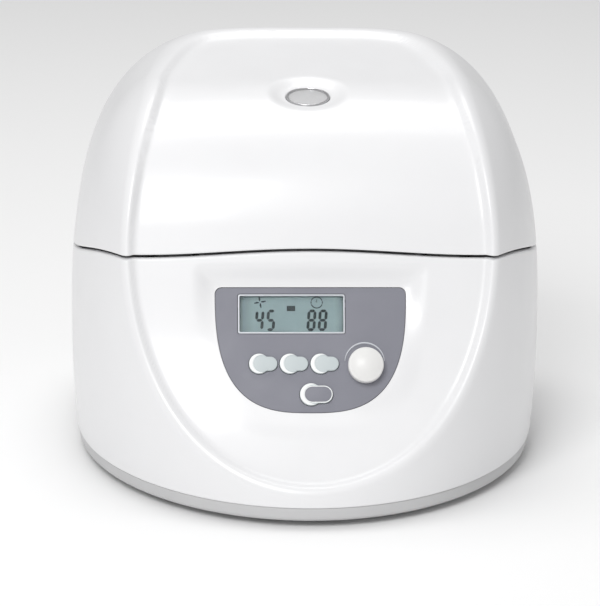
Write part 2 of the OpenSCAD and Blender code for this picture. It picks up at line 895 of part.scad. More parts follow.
module motor_stator() {
    color(dark)
        at_axis(damper_top + motor_plate_t)
            difference() {
                union() {
                    cylinder(h = motor_h - 3, r = motor_r);
                    cylinder(h = motor_h, r = motor_r - 8);
                    translate([0, 0, -motor_plate_t]) cylinder(h = motor_plate_t, r = shaft_r + 5);
                    for (a = [0:30:330])
                        rotate(a) translate([motor_r - 1, -1.5, 2]) cube([3, 3, motor_h - 8]);
                }
                cylinder(h = motor_h + 1, r = shaft_r + running_gap);
            }
}

module drive_shaft() {
    low = damper_top + motor_plate_t + seat_gap;
    color(steel)
        at_axis() {
            translate([0, 0, low]) cylinder(h = nut_z - low, r = shaft_r);
            translate([0, 0, nut_z - 1]) cylinder(h = nut_h - 1, r = thread_r);
        }
}

// The cross plate under the cradles and the hub on the shaft
module rotor_hub() {
    color(steel)
        at_axis(hub_z)
            difference() {
                union() {
                    round_box([2 * (cradle_x + cradle_out) - 6, hub_plate_w, hub_plate_t], 12);
                    cylinder(h = nut_z - hub_z, r = hub_r);
                    for (s = [-1, 1]) translate([s * (cradle_x - 1) / 2, 0, hub_rib_h / 2])
                        cube([cradle_x - 1, 6, hub_rib_h], center = true);
                }
                translate([0, 0, -1]) cylinder(h = nut_z - hub_z + 2, r = shaft_r + 0.02);
                for (p = cradle_holes)
                    translate([p.x, p.y, -1]) cylinder(h = hub_plate_t + 2, r = screw_r + 0.2);
                for (s = [-1, 1])
                    translate([0, s * hub_plate_w / 3, -1]) cylinder(h = hub_plate_t + 2, r = 7);
            }
}

// One open-topped holder for an upright plate, at the right of the hub
module plate_cradle() {
    at_axis(cradle_z)
        translate([cradle_x, 0, 0])
            difference() {
                translate([0, -slot_l / 2 - cradle_t, 0])
                    cube([cradle_out, slot_l + 2 * cradle_t, slot_depth + cradle_t]);
                translate([cradle_t, -slot_l / 2, cradle_t]) cube([slot_w, slot_l, slot_depth + 1]);
                for (s = [-1, 1])
                    translate([-1, s * slot_l / 4 - window_w / 2, cradle_t + 8])
                        cube([cradle_t + 2, window_w, window_h]);
                translate([-1, 0, cradle_t + slot_depth])
                    rotate([0, 90, 0])
                        cylinder(h = cradle_out + 2, r = finger_r);
                for (s = [-1, 1])
                    translate([cradle_out / 2, s * cradle_hole_y, -1])
                        cylinder(h = cradle_t + 2, r = screw_r + 0.1);
            }
}

module plate_cradle_right() {
    color(pale) plate_cradle();
}

module plate_cradle_left() {
    color(pale) mirror([1, 0, 0]) plate_cradle();
}

// Bowed strips on the outer walls of the slots that steady the plates
module cradle_springs() {
    wall_x = cradle_x + cradle_out - cradle_t - 0.02;
    color(steel)
        at_axis(cradle_z + cradle_t + slot_depth / 3)
            for (a = [0, 180], y = [-1, 1])
                rotate(a)
                    translate([wall_x, y * slot_l / 4, 0])
                        linear_extrude(spring_w)
                            intersection() {
                                translate([spring_r - spring_bow, 0])
                                    difference() {
                                        circle(spring_r, $fn = 96);
                                        circle(spring_r - spring_t, $fn = 96);
                                    }
                                translate([-2 * spring_bow, -spring_l])
                                    square([2 * spring_bow, 2 * spring_l]);
                            }
}

module cradle_screws() {
    color(steel)
        at_axis(hub_z)
            for (p = cradle_holes)
                translate([p.x, p.y, -head_h]) screw(hub_plate_t + cradle_t - 0.3);
}

module rotor_nut() {
    color(steel)
        at_axis(nut_z)
            difference() {
                union() {
                    cylinder(h = nut_h, r = nut_r, $fn = 6);
                    cylinder(h = 2, r = nut_r + 1.5);
                }
                translate([0, 0, -1]) cylinder(h = nut_h, r = thread_r + 0.02);
            }
}

// The white shell of the lid
module lid_shell() {
    lows = lid_lows();
    color(white)
        resize([0, 0, 0])
            difference() {
                strip(lid_skin(0, lid_rows, lows), lid_skin(wall, lid_inner_rows, lows));
                for (s = [-1, 1])
                    translate([s * hinge_x - hinge_slot / 2, hinge_y - slot_reach, seam_z - 10])
                        cube([hinge_slot, slot_reach * 2, 11 + knuckle_r]);
            }
}

// The inner face of the lid, round the drum
module lid_liner() {
    color(white)
        difference() {
            union() {
                slab(liner_z, liner_t, liner_z + liner_t, wall + liner_fit);
                intersection() {
                    slab(leaf_top, liner_z + 1 - leaf_top, liner_z + liner_t, wall + liner_fit);
                    for (s = [-1, 1]) translate([s * hinge_x, pad_y, leaf_top]) hinge_pad();
                }
                for (s = [-1, 1])
                    translate([s * lock_x, lock_y, striker_top])
                        cylinder(h = liner_z + 1 - striker_top, r = lug_r);
            }
            at_axis(liner_z - 1) cylinder(h = liner_t + 2, r = drum_r + liner_t + seat_gap);
            for (s = [-1, 1], y = hinge_screws_y)
                translate([s * hinge_x, y, leaf_top - 1]) cylinder(h = liner_t + 2, r = screw_r + 0.1);
            for (p = lug_screws)
                translate([p.x, p.y, striker_top - 1]) cylinder(h = screw_l + 1, r = screw_r + 0.1);
        }
}

// The round cover over the rotor: its rim closes on the seal, its collar holds it under the liner
module lid_drum() {
    top = ceiling_z - ceiling_corner;
    color(white)
        difference() {
            at_axis()
                rotate_extrude($fn = 96) {
                    translate([drum_r, drum_z]) square([liner_t, top - drum_z]);
                    translate([drum_r, drum_z]) square([bowl_rim, liner_t]);
                    translate([drum_r, liner_z - liner_t]) square([liner_t + drum_collar, liner_t]);
                    translate([0, ceiling_z]) square([drum_r - ceiling_corner, liner_t]);
                    translate([drum_r - ceiling_corner, top])
                        difference() {
                            mirror([0, 1]) quarter(ceiling_corner + liner_t);
                            circle(ceiling_corner);
                        }
                }
            sight_axis(-tube_reach) cylinder(h = tube_reach - 10, r = tube_r + fit);
        }
}

// A low table on two ribs under the liner that a hinge leaf is screwed to
module hinge_pad() {
    translate([-pad_w / 2, 0, 0]) cube([pad_w, pad_d, liner_t]);
    for (e = [-1, 1])
        translate([e * (pad_w - pad_rib_t) / 2 - pad_rib_t / 2, 0, 0])
            cube([pad_rib_t, pad_d, liner_z + 1 - leaf_top]);
}

// Places children on the sight glass's axis, at a height over the dimple's floor
module sight_axis(h) {
    translate(sight_c) rotate([sight_tilt, 0, 0]) translate([0, 0, h]) children();
}

module sight_tube() {
    color(pale)
        intersection() {
            sight_axis(-tube_reach) ring(tube_r, tube_in, tube_reach - wall - seat_gap);
            translate([-half_w, -half_d, ceiling_z - tube_drop]) cube([body_w, body_d, dome_h]);
        }
}

module sight_ring() {
    color(steel) sight_axis(-wall) ring(sight_d / 2, sight_d / 2 - sight_rim, wall + 0.5);
}

module sight_glass() {
    color("lightcyan") sight_axis(-wall) cylinder(h = wall - 0.4, r = sight_d / 2 - sight_rim - 0.1);
}

// Lies along X through a hinge's axis
module on_hinge(x, length, r) {
    translate([x - length / 2, hinge_y, seam_z]) rotate([0, 90, 0]) cylinder(h = length, r = r);
}

module hinge_brackets() {
    ear_x = leaf_w / 2 + hinge_gap + ear_t / 2;
    color(steel)
        for (s = [-1, 1])
            difference() {
                union() {
                    translate([s * hinge_x - bracket_w / 2, bracket_y, deck_z])
                        cube([bracket_w, bracket_d - knuckle_r - bracket_in, bracket_t]);
                    for (e = [-1, 1]) {
                        on_hinge(s * hinge_x + e * ear_x, ear_t, knuckle_r);
                        translate([s * hinge_x + e * ear_x - ear_t / 2, bracket_y, deck_z])
                            cube([ear_t, hinge_y - bracket_y, seam_z - deck_z]);
                    }
                }
                on_hinge(s * hinge_x, bracket_w, pin_r + 0.02);
                for (p = bracket_screws)
                    translate([p.x, p.y, deck_z - 1]) cylinder(h = bracket_t + 2, r = screw_r + 0.2);
            }
}

module hinge_leaves() {
    color(steel)
        for (s = [-1, 1])
            difference() {
                union() {
                    translate([s * hinge_x - leaf_w / 2, pad_y, leaf_top - leaf_t])
                        cube([leaf_w, hinge_y - pad_y, leaf_t]);
                    on_hinge(s * hinge_x, leaf_w, knuckle_r);
                }
                on_hinge(s * hinge_x, leaf_w + 2, pin_r + running_gap);
                for (y = hinge_screws_y)
                    translate([s * hinge_x, y, leaf_top - leaf_t - 1])
                        cylinder(h = leaf_t + 2, r = screw_r + 0.1);
            }
}

module hinge_pins() {
    color(steel)
        for (s = [-1, 1]) on_hinge(s * hinge_x, leaf_w + 2 * hinge_gap + 2 * ear_t, pin_r);
}

module hinge_screws() {
    color(steel)
        for (s = [-1, 1], y = hinge_screws_y)
            translate([s * hinge_x, y, leaf_top - leaf_t - head_h]) screw(leaf_t + liner_t - 0.3);
}

// The plates under the lid that the lock bolts enter
module lid_strikers() {
    color(steel)
        for (s = [-1, 1])
            difference() {
                translate([s * lock_x, lock_y, 0]) {
                    translate([-lug_r, -striker_w / 2, striker_top - 2]) cube([2 * lug_r, striker_w, 2]);
                    translate([-striker_t / 2, -striker_w / 2, striker_low])
                        cube([striker_t, striker_w, striker_top - 1 - striker_low]);
                }
                translate([s * lock_x - lug_r, lock_y, bolt_z])
                    rotate([0, 90, 0])
                        cylinder(h = 2 * lug_r, r = bolt_r + fit);
                for (p = lug_screws)
                    translate([p.x, p.y, striker_top - 3]) cylinder(h = 4, r = screw_r + 0.1);
            }
}

module liner_screws() {
    color(steel)
        for (p = lug_screws)
            translate([p.x, p.y, striker_top - 2 - head_h]) screw(screw_l);
}

module lock_bodies() {
    color(black)
        for (s = [-1, 1])
            translate([s * lock_x, lock_y, 0])
                difference() {
                    translate([-lock_w / 2, -lock_d / 2, lock_low]) cube([lock_w, lock_d, lock_h]);
                    translate([-slot_x / 2, -slot_y / 2, lock_low + 3]) cube([slot_x, slot_y, lock_h]);
                    translate([-lock_w / 2 + 2, 0, bolt_z])
                        rotate([0, 90, 0])
                            cylinder(h = lock_w - 4, r = bolt_r + running_gap);
                }
}

// A lock bolt, drawn back from its slot on the side away from the middle
module lock_bolt(s) {
    color(steel)
        translate([s * (lock_x + slot_x / 2 + 0.5), lock_y, bolt_z])
            rotate([0, s * 90, 0])
                cylinder(h = bolt_l, r = bolt_r);
}

module lock_bolt_left() {
    lock_bolt(-1);
}

module lock_bolt_right() {
    lock_bolt(1);
}

module control_panel() {
    color("#8f909a")
        on_panel()
            difference() {
                union() {
                    translate([0, 0, -panel_t]) linear_extrude(panel_t) panel_outline(0);
                    for (p = panel_posts)
                        translate([p.x, p.y, -panel_t - board_gap])
                            cylinder(h = board_gap + 1, r = panel_post_r);
                }
                translate([-display_x, -display_v, -panel_t - 1])
                    round_box([display_w + 2 * panel_gap, display_h + 2 * panel_gap, panel_t + 2], 1.5);
                for (i = [0:2])
                    translate([-key_x + i * key_pitch, -key_v, -panel_t - 1])
                        linear_extrude(panel_t + 2) key_shape(key_d, key_tail_h, key_len, panel_gap);
                translate([0, -start_v, -panel_t - 1])
                    linear_extrude(panel_t + 2) key_shape(start_d, start_tail_h, start_len, panel_gap);
                translate([knob_x, -knob_v, -panel_t - 1]) cylinder(h = panel_t + 2, r = bush_r + 0.2);
            }
}

// A round end with a longer, lower end to its right
module key_shape(d, tail_h, length, grow) {
    end = length - d / 2 - tail_h / 2;
    union() {
        circle(d / 2 + grow);
        translate([0, -tail_h / 2 - grow]) square([end, tail_h + 2 * grow]);
        translate([end, 0]) circle(tail_h / 2 + grow);
    }
}

// A key with a flange that keeps it under the panel's plate
module key(d, tail_h, length) {
    translate([0, 0, key_low]) linear_extrude(key_proud - key_low) key_shape(d, tail_h, length, 0);
    translate([1.5 - d / 2, -d / 2 - key_lip, -panel_t - 1.2]) cube([length - 3, d + 2 * key_lip, 1]);
}

module small_key(i) {
    color("#dfe6e4") on_panel(-key_x + i * key_pitch, -key_v) key(key_d, key_tail_h, key_len);
}

module key_one() {
    small_key(0);
}

module key_two() {
    small_key(1);
}

module key_three() {
    small_key(2);
}

module start_key() {
    color("#dfe6e4") on_panel(0, -start_v) key(start_d, start_tail_h, start_len);
}

module display_frame() {
    color(pale)
        on_panel(-display_x, -display_v, -panel_t)
            difference() {
                round_box([display_w, display_h, panel_t + 0.3], 1.2);
                translate([0, 0, -1])
                    round_box([display_w - 2 * display_rim, display_h - 2 * display_rim, panel_t + 3], 0.8);
            }
}

module display_window() {
    inset = 2 * display_rim + 0.3;
    color("#5c6a6e")
        on_panel(-display_x, -display_v, -panel_t + 0.4)
            round_box([display_w - inset, display_h - inset, panel_t - 0.8], 0.7);
}

module display_module() {
    color("#31463c")
        on_panel(-display_x, -display_v, -panel_t - board_gap)
            round_box([display_w, display_h, board_gap - 0.1], 1);
}

// The circuit board behind the panel, with a push switch under each key
module panel_board() {
    color("#1f5a3a")
        on_panel(0, 0, -panel_t - board_gap) {
            intersection() {
                translate([0, 0, -board_t]) linear_extrude(board_t) panel_outline(-board_in);
                translate([-panel_w / 2, -panel_h, -board_t]) cube([panel_w, panel_h - board_drop, board_t]);
            }
            for (i = [0:2]) push_switch(-key_x + i * key_pitch, -key_v);
            push_switch(0, -start_v);
        }
}

module push_switch(u, v) {
    translate([u - 3, v - 3, -0.5]) cube([6, 6, 1.3]);
    translate([u, v, -0.5]) cylinder(h = switch_top + panel_t + board_gap + 0.5, r = 1.6);
}

// A thin raised arc on the panel round the top of the knob
module knob_arc() {
    r = knob_d / 2 + arc_gap + arc_w;
    color(white)
        on_panel(knob_x - arc_shift, arc_rise - knob_v)
            difference() {
                ring(r, r - arc_w, arc_h);
                translate([-2 * r, -4 * r, -1]) cube([4 * r, 4 * r, arc_h + 2]);
            }
}

module knob() {
    r = knob_d / 2;
    color(white)
        on_panel(knob_x, -knob_v)
            difference() {
                rotate_extrude()
                    difference() {
                        union() {
                            translate([0, 0.6]) square([r - fit, 1]);
                            translate([0, 1.2]) square([r, knob_h - crown_h - 1.2]);
                            intersection() {
                                translate([0, knob_h - crown_r]) circle(crown_r, $fn = 120);
                                translate([0, knob_h - crown_h - 0.1]) square([r, crown_h + 1]);
                            }
                        }
                        square([bush_r + 1, 2.5]);
                    }
                cylinder(h = knob_h - 2.5, r = knob_shaft_r + 0.02);
            }
}

module knob_shaft() {
    color(steel)
        on_panel(knob_x, -knob_v, -panel_t - 3) cylinder(h = panel_t + knob_h, r = knob_shaft_r);
}

module speed_encoder() {
    color(steel)
        on_panel(knob_x, -knob_v)
            difference() {
                union() {
                    translate([-6, -6, -panel_t - board_gap]) cube([12, 12, board_gap - 0.1]);
                    translate([0, 0, -panel_t - 0.2]) cylinder(h = panel_t + 1.7, r = bush_r);
                }
                translate([0, 0, -panel_t - 3 - seat_gap]) cylinder(h = 10, r = knob_shaft_r + running_gap);
            }
}

// The drive electronics on the tray, under the front of the chamber
module main_board() {
    color("#1f5a3a")
        translate([0, board_y, board_z]) {
            translate([-board_w / 2, 0, 0]) cube([board_w, board_d, board_t]);
            for (i = [0:3]) translate([-54 + i * 18, 14, 1]) cylinder(h = 16, r = 6);
            translate([20, 6, 1]) cube([44, 16, 20]);
            translate([-60, 34, 1]) cube([30, 22, 9]);
            translate([-18, 34, 1]) cube([26, 18, 3]);
            for (i = [0:2]) translate([20 + i * 16, 34, 1]) cube([11, 12, 10]);
        }
}

module power_supply() {
    color(steel)
        translate([supply_x, supply_y, supply_z])
            difference() {
                cube([supply_w, supply_d, supply_h]);
                for (i = [0:9]) translate([supply_w - 2, 6, 10 + i * 7]) cube([3, supply_d - 12, 3]);
            }
}

// Places children behind the body: their own Z runs to the rear
module on_rear(x, z, y) {
    translate([x, y, z]) rotate([-90, 0, 0]) children();
}

module rear_plate() {
    inner = rear_y - rear_t - 1;
    color(grey)
        difference() {
            on_rear(0, rear_z, rear_y - rear_t) round_box([rear_w, rear_h, rear_t], rear_corner);
            on_rear(-fan_x, rear_z, inner) cylinder(h = rear_t + 2, r = fan_bore);
            on_rear(inlet_x, inlet_z, inner) round_box([inlet_w + fit, inlet_h + fit, rear_t + 2], 1.5);
            on_rear(inlet_x, rocker_z, inner) round_box([rocker_w + fit, rocker_h + fit, rear_t + 2], 1.5);
        }
}

module power_inlet() {
    color(black)
        difference() {
            union() {
                on_rear(inlet_x, inlet_z, rear_y) round_box([inlet_w + 4, inlet_h + 4, flange_t], 2.5);
                on_rear(inlet_x, inlet_z, rear_y - inlet_depth)
                    round_box([inlet_w, inlet_h, inlet_depth + 1], 1.5);
            }
            on_rear(inlet_x, inlet_z - socket_drop, rear_y - socket_depth)
                round_box([socket_w, socket_h, socket_depth + 10], 3);
            on_rear(inlet_x, inlet_z + fuse_lift, rear_y - fuse_depth)
                round_box([fuse_w + fit, fuse_h + fit, 30], 0.8);
        }
}

module inlet_pins() {
    color("gold")
        for (x = [-7, 0, 7])
            on_rear(inlet_x + x, inlet_z - socket_drop + (x == 0 ? 2.5 : -1.5), rear_y - socket_depth)
                translate([-1, -2.5, 0]) cube([2, 5, 13]);
}

module fuse_drawer() {
    color(dark)
        difference() {
            on_rear(inlet_x, inlet_z + fuse_lift, rear_y - fuse_depth + 0.3)
                round_box([fuse_w, fuse_h, fuse_depth + flange_t], 0.6);
            on_rear(inlet_x, inlet_z + fuse_lift, rear_y + flange_t - 0.6)
                translate([-4, -1, 0]) cube([8, 2, 5]);
        }
}

module switch_frame() {
    color(black)
        difference() {
            union() {
                on_rear(inlet_x, rocker_z, rear_y) round_box([rocker_w + 4, rocker_h + 4, flange_t], 2);
                on_rear(inlet_x, rocker_z, rear_y - rocker_depth)
                    round_box([rocker_w, rocker_h, rocker_depth + 1], 1.5);
            }
            on_rear(inlet_x, rocker_z, rear_y - rocker_depth + 2)
                round_box([rocker_w - 4, rocker_h - 4, 40], 1);
            rocker_pin(rocker_pin_r + running_gap, rocker_pin_l + 0.4);
        }
}

// The level pin that the rocker turns on, centred on its frame
module rocker_pin(r, length) {
    translate([inlet_x - length / 2, rocker_axis_y, rocker_z]) rotate([0, 90, 0]) cylinder(h = length, r = r);
}

module power_rocker() {
    w = rocker_w - 4.8;
    side = [[2.2, 0], [5, 8], [-4, 7.5], [-8, 3], [-8, -3], [-4, -7.5], [5, -8]];
    color(black) {
        translate([inlet_x - w / 2, rocker_axis_y, rocker_z])
            rotate([90, 0, 90])
                linear_extrude(w) polygon(side);
        rocker_pin(rocker_pin_r, rocker_pin_l);
    }
}

module fan_frame() {
    color(black)
        on_rear(-fan_x, rear_z, fan_y)
            difference() {
                union() {
                    difference() {
                        round_box([fan_side, fan_side, fan_t], 4);
                        translate([0, 0, -1]) cylinder(h = fan_t + 2, r = fan_bore);
                    }
                    cylinder(h = 2.5, r = fan_hub_r);
                    for (a = [45:90:315]) rotate(a) translate([0, -2, 0]) cube([fan_bore + 1, 4, 2.5]);
                    cylinder(h = 7, r = fan_axle_r);
                }
                for (x = [-1, 1], y = [-1, 1])
                    translate([x * (fan_side / 2 - 5), y * (fan_side / 2 - 5), -1])
                        cylinder(h = fan_t + 2, r = 2.1);
            }
}

module fan_rotor() {
    depth = fan_t - 4;
    color(dark)
        on_rear(-fan_x, rear_z, fan_y + 3)
            difference() {
                union() {
                    cylinder(h = depth, r = fan_hub_r);
                    intersection() {
                        cylinder(h = depth, r = fan_bore - 0.8);
                        for (i = [0:6])
                            rotate(i * 360 / 7)
                                translate([fan_hub_r - 1, 0, depth / 2])
                                    rotate([40, 0, 0])
                                        translate([0, -6, -0.6]) cube([fan_bore, 12, 1.2]);
                    }
                }
                translate([0, 0, -1]) cylinder(h = 5.3, r = fan_axle_r + running_gap);
            }
}

module vent_grille() {
    color(black)
        on_rear(-fan_x, rear_z, rear_y) {
            for (r = [7:6:25]) ring(r + 0.8, r - 0.8, 1.6);
            ring(fan_side / 2, fan_side / 2 - 2.8, 1.6);
            cylinder(h = 1.6, r = 3);
            for (a = [0:45:315]) rotate(a) translate([2, -0.8, 0]) cube([fan_side / 2 - 4, 1.6, 1.6]);
        }
}

base_housing();
base_tray();
rubber_feet();
top_deck();
chamber_bowl();
chamber_gasket();
shaft_boot();
motor_plate();
motor_dampers();
motor_stator();
drive_shaft();
rotor_hub();
plate_cradle_left();
plate_cradle_right();
cradle_springs();
cradle_screws();
rotor_nut();
lid_shell();
lid_liner();
lid_drum();
sight_tube();
sight_ring();
sight_glass();
hinge_brackets();
hinge_leaves();
hinge_pins();
lid_strikers();
lock_bodies();
lock_bolt_left();
lock_bolt_right();
control_panel();
display_frame();
display_window();
display_module();
panel_board();
key_one();
key_two();
key_three();
start_key();
knob_arc();
knob();
knob_shaft();
speed_encoder();
main_board();
power_supply();
rear_plate();
power_inlet();
inlet_pins();
fuse_drawer();
switch_frame();
power_rocker();
fan_frame();
fan_rotor();
vent_grille();
deck_screws();
liner_screws();
hinge_screws();
foot_screws();
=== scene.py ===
import json
import math

import bmesh
import bpy
import numpy as np
from mathutils import Matrix, Vector


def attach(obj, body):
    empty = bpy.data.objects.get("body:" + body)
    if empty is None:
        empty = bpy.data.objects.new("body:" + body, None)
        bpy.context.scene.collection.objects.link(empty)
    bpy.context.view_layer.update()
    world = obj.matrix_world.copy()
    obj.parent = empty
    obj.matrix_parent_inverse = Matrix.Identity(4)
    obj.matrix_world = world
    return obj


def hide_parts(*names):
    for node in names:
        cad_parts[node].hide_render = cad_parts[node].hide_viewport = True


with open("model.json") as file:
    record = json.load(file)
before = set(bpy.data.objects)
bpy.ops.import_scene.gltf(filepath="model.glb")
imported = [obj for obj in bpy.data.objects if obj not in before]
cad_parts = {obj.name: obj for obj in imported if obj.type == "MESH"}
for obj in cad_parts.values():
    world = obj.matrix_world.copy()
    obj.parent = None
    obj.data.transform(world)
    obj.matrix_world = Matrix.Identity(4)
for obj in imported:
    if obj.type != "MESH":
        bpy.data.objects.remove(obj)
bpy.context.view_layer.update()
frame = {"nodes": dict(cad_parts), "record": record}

# Sizes in millimetres, as in the CAD source.
MM = 0.001
BODY_W, BODY_D, DOME_H = 283.0, 330.0, 248.5
HALF_W, HALF_D = BODY_W / 2, BODY_D / 2
WIDE_Y, WIDE_Z, FOOT_DRAW = 12.5, 72.0, 4.4
PLAN_FRONT, PLAN_REAR, DOME_FULL = 1.985, 5.0, 2.91
WALL = 3.2
SEAM_Z, SEAM_RISE, SEAM_ARCH, SEAM_GAP = 123.0, 18.0, 4.2, 1.8
SEAM_FROM, SEAM_TO, SEAM_HALF_W = -10.0, 112.0, 105.0
ARCH_FROM, ARCH_OVER = 30.0, 60.0
LEAN, SHEET_Y, SHEET_Z, FLARE = math.radians(18.6), 103.0, 133.0, 18.0
TOP_Z, TOP_Y, TOP_SLOPE = 237.0, 40.0, math.radians(6.7)
SHOULDER, SHEET_ROUND = 58.0, 1550.0
GROOVE_H, GROOVE_W = 5.0, 7.5
PANEL_W, PANEL_H, PANEL_T, PANEL_LEAN = 110.0, 73.5, 2.0, math.radians(28)
PANEL_FOOT_Z, PANEL_SINK, PANEL_FULL, PANEL_CORNER, POCKET_W = 58.5, 0.5, 2.9, 4.0, 13.0
PANEL_GAP = 0.3
SIGHT_D, SIGHT_Y, SIGHT_TILT = 25.6, 22.0, math.radians(11.5)
DIMPLE_H, DIMPLE_FLAT_R, DIMPLE_R = 3.5, 14.5, 25.0
# Width of the blend along the crease, and the step over which the skin's slope is taken
CREASE, SLOPE_STEP = 4.0, 1.8
BASE_Z, FOOT_H = 12.0, 4.0
AXIS_Y = 17.0
# Columns and rows of the two shells, and how much closer the columns stand at the front
COLUMNS, FRONT_BIAS = 680, 0.8
BASE_ROWS, BASE_INNER_ROWS, LID_ROWS, LID_INNER_ROWS = 200, 30, 260, 60
SPREAD_X, SPREAD_RATE = 95.0, 3.0
RAY_REACH, RAY_HALVINGS = 240.0, 24
# How near the skin a corner has to lie, and how far its face has to agree, to take the skin's slope
SKIN_NEAR, FACE_AGREES = 0.02, 0.3


# The round body and its cuts

def smooth(v):
    """Rises softly from 0 to 1 as the value does."""
    t = np.clip(v, 0, 1)
    return t * t * (3 - 2 * t)


def smax(a, b, k):
    """The greater of two values, blended over a width where they are close."""
    h = np.maximum(k - np.abs(a - b), 0) / k
    return np.maximum(a, b) + h * h * k / 4


def dome(p):
    """The round body without the sheet: below zero inside it."""
    x, y, z = p[..., 0], p[..., 1], p[..., 2]
    draw = FOOT_DRAW * np.clip((WIDE_Z - z) / WIDE_Z, 0, 1) ** 2
    dy = y - WIDE_Y
    n = np.where(dy < 0, PLAN_FRONT, PLAN_REAR)
    reach = np.where(dy < 0, HALF_D + WIDE_Y, HALF_D - WIDE_Y - draw)
    plan = (np.abs(x / (HALF_W - draw)) ** n + np.abs(dy / reach) ** n) ** (1 / n)
    up = np.maximum((z - WIDE_Z) / (DOME_H - WIDE_Z), 0)
    return ((plan ** DOME_FULL + up ** DOME_FULL) ** (1 / DOME_FULL) - 1) * HALF_W


def sheet(p):
    """The broad sheet that cuts the front and the top: below zero behind it."""
    x, y, z = p[..., 0], p[..., 1], p[..., 2]
    down = SHEET_Z - z
    flare = FLARE * 1e-6 * np.maximum(down, 0) ** 3
    crown = x * x / (2 * SHEET_ROUND)
    front = -(y + SHEET_Y + math.tan(LEAN) * down + flare) * math.cos(LEAN) + crown
    top = (z - TOP_Z) * math.cos(TOP_SLOPE) - (y - TOP_Y) * math.sin(TOP_SLOPE) + crown
    return smax(front, top, SHOULDER)


def sheet_front_y(z):
    down = SHEET_Z - z
    return -(SHEET_Y + math.tan(LEAN) * down + FLARE * 1e-6 * max(down, 0) ** 3) + GROOVE_H / math.cos(LEAN)


PANEL_N = np.array([0, -math.cos(PANEL_LEAN), math.sin(PANEL_LEAN)])
PANEL_UP = np.array([0, math.sin(PANEL_LEAN), math.cos(PANEL_LEAN)])
PANEL_TOP = np.array([0, sheet_front_y(PANEL_FOOT_Z) + PANEL_SINK, PANEL_FOOT_Z]) + PANEL_H * PANEL_UP


def panel_out(u, v):
    """How far a point of the panel's plane lies outside the panel's outline."""
    down = np.maximum(-v, 0) / PANEL_H
    side = ((2 * np.abs(u) / PANEL_W) ** PANEL_FULL + down ** PANEL_FULL) ** (1 / PANEL_FULL) - 1
    return smax(side * PANEL_W / 2, v, PANEL_CORNER)


def sheet_level(y):
    """The sheet's height in the middle of the body."""
    lo, hi = WIDE_Z, DOME_H
    for _ in range(30):
        mid = (lo + hi) / 2
        if sheet(np.array([0, y, mid])) + GROOVE_H < 0:
            lo = mid
        else:
            hi = mid
    return lo


SIGHT_N = np.array([0, -math.sin(SIGHT_TILT), math.cos(SIGHT_TILT)])
SIGHT_C = np.array([0, -SIGHT_Y, sheet_level(-SIGHT_Y) - DIMPLE_H])
FRONT_SEAM_Z = SEAM_Z + SEAM_RISE + SEAM_ARCH


def body_f(p):
    """The whole skin with groove, panel pocket and sight dimple: below zero inside the body."""
    round_body = dome(p)
    cut = sheet(p) + GROOVE_H * smooth(-round_body / GROOVE_W)
    q = p - PANEL_TOP
    pocket = 1 - smooth(panel_out(q[..., 0], q @ PANEL_UP) / POCKET_W)
    pocket = np.where(p[..., 2] > SEAM_Z + SEAM_RISE, 0, pocket)
    pocketed = cut * (1 - pocket) + (q @ PANEL_N) * pocket
    s = p - SIGHT_C
    away = np.hypot(s[..., 0], s[..., 1] / math.cos(SIGHT_TILT))
    dimple = 1 - smooth((away - DIMPLE_FLAT_R) / (DIMPLE_R - DIMPLE_FLAT_R))
    dimple = np.where(p[..., 2] < FRONT_SEAM_Z, 0, dimple)
    return smax(round_body, pocketed * (1 - dimple) + (s @ SIGHT_N) * dimple, CREASE)


def skin_normal(p):
    """The skin's outward direction, from the slope of the body's function."""
    slope = np.stack([body_f(p + step) - body_f(p - step) for step in np.eye(3) * SLOPE_STEP], axis=-1)
    return slope / np.maximum(np.linalg.norm(slope, axis=-1, keepdims=True), 1e-9)


def rays(start, way, inset):
    """Where rays from inside the body meet its skin, drawn in by an inset."""
    lo = np.zeros(way.shape[:-1])
    hi = np.full(way.shape[:-1], RAY_REACH)
    for _ in range(RAY_HALVINGS):
        mid = (lo + hi) / 2
        inside = body_f(start + way * mid[..., None]) + inset < 0
        lo = np.where(inside, mid, lo)
        hi = np.where(inside, hi, mid)
    return start + way * lo[..., None]


PHI = np.arange(COLUMNS) * 2 * math.pi / COLUMNS
ANGLE = PHI - FRONT_BIAS * np.sin(PHI)
AROUND = np.stack([np.sin(ANGLE), -np.cos(ANGLE), np.zeros(COLUMNS)], axis=1)
# Rays start on a line across the body, so that none runs along the groove's wall.
SPREAD = SPREAD_X * np.tanh(SPREAD_RATE * AROUND[:, 0])


def level_ring(z, inset, centre_y=WIDE_Y):
    """The body's outline at a level, which may differ from column to column."""
    start = np.zeros((COLUMNS, 3))
    start[:, 0] = SPREAD
    start[:, 1] = centre_y
    start[:, 2] = z
    return rays(start, AROUND, inset)


def seam_level(p):
    """The seam's height at points of the skin: higher and arched towards the front."""
    ahead = WIDE_Y - p[:, 1]
    arch = np.cos(np.clip(np.abs(p[:, 0]) / SEAM_HALF_W, 0, 1) * math.pi / 2) ** 2
    return SEAM_Z + SEAM_RISE * smooth((ahead - SEAM_FROM) / (SEAM_TO - SEAM_FROM)) \
        + SEAM_ARCH * arch * smooth((ahead - ARCH_FROM) / ARCH_OVER)


def seam_ring(centre_y):
    level = np.full(COLUMNS, SEAM_Z)
    for _ in range(4):
        level = seam_level(level_ring(level, 0, centre_y))
    return level


# Mesh helpers

def add_mesh(name, points, faces, sharp=40):
    mesh = bpy.data.meshes.new(name)
    mesh.from_pydata((np.asarray(points, float) * MM).tolist(), [], faces)
    mesh.validate()
    work = bmesh.new()
    work.from_mesh(mesh)
    bmesh.ops.recalc_face_normals(work, faces=work.faces)
    work.to_mesh(mesh)
    work.free()
    piece = bpy.data.objects.new(name, mesh)
    bpy.context.collection.objects.link(piece)
    set_smooth(piece, sharp)
    return piece


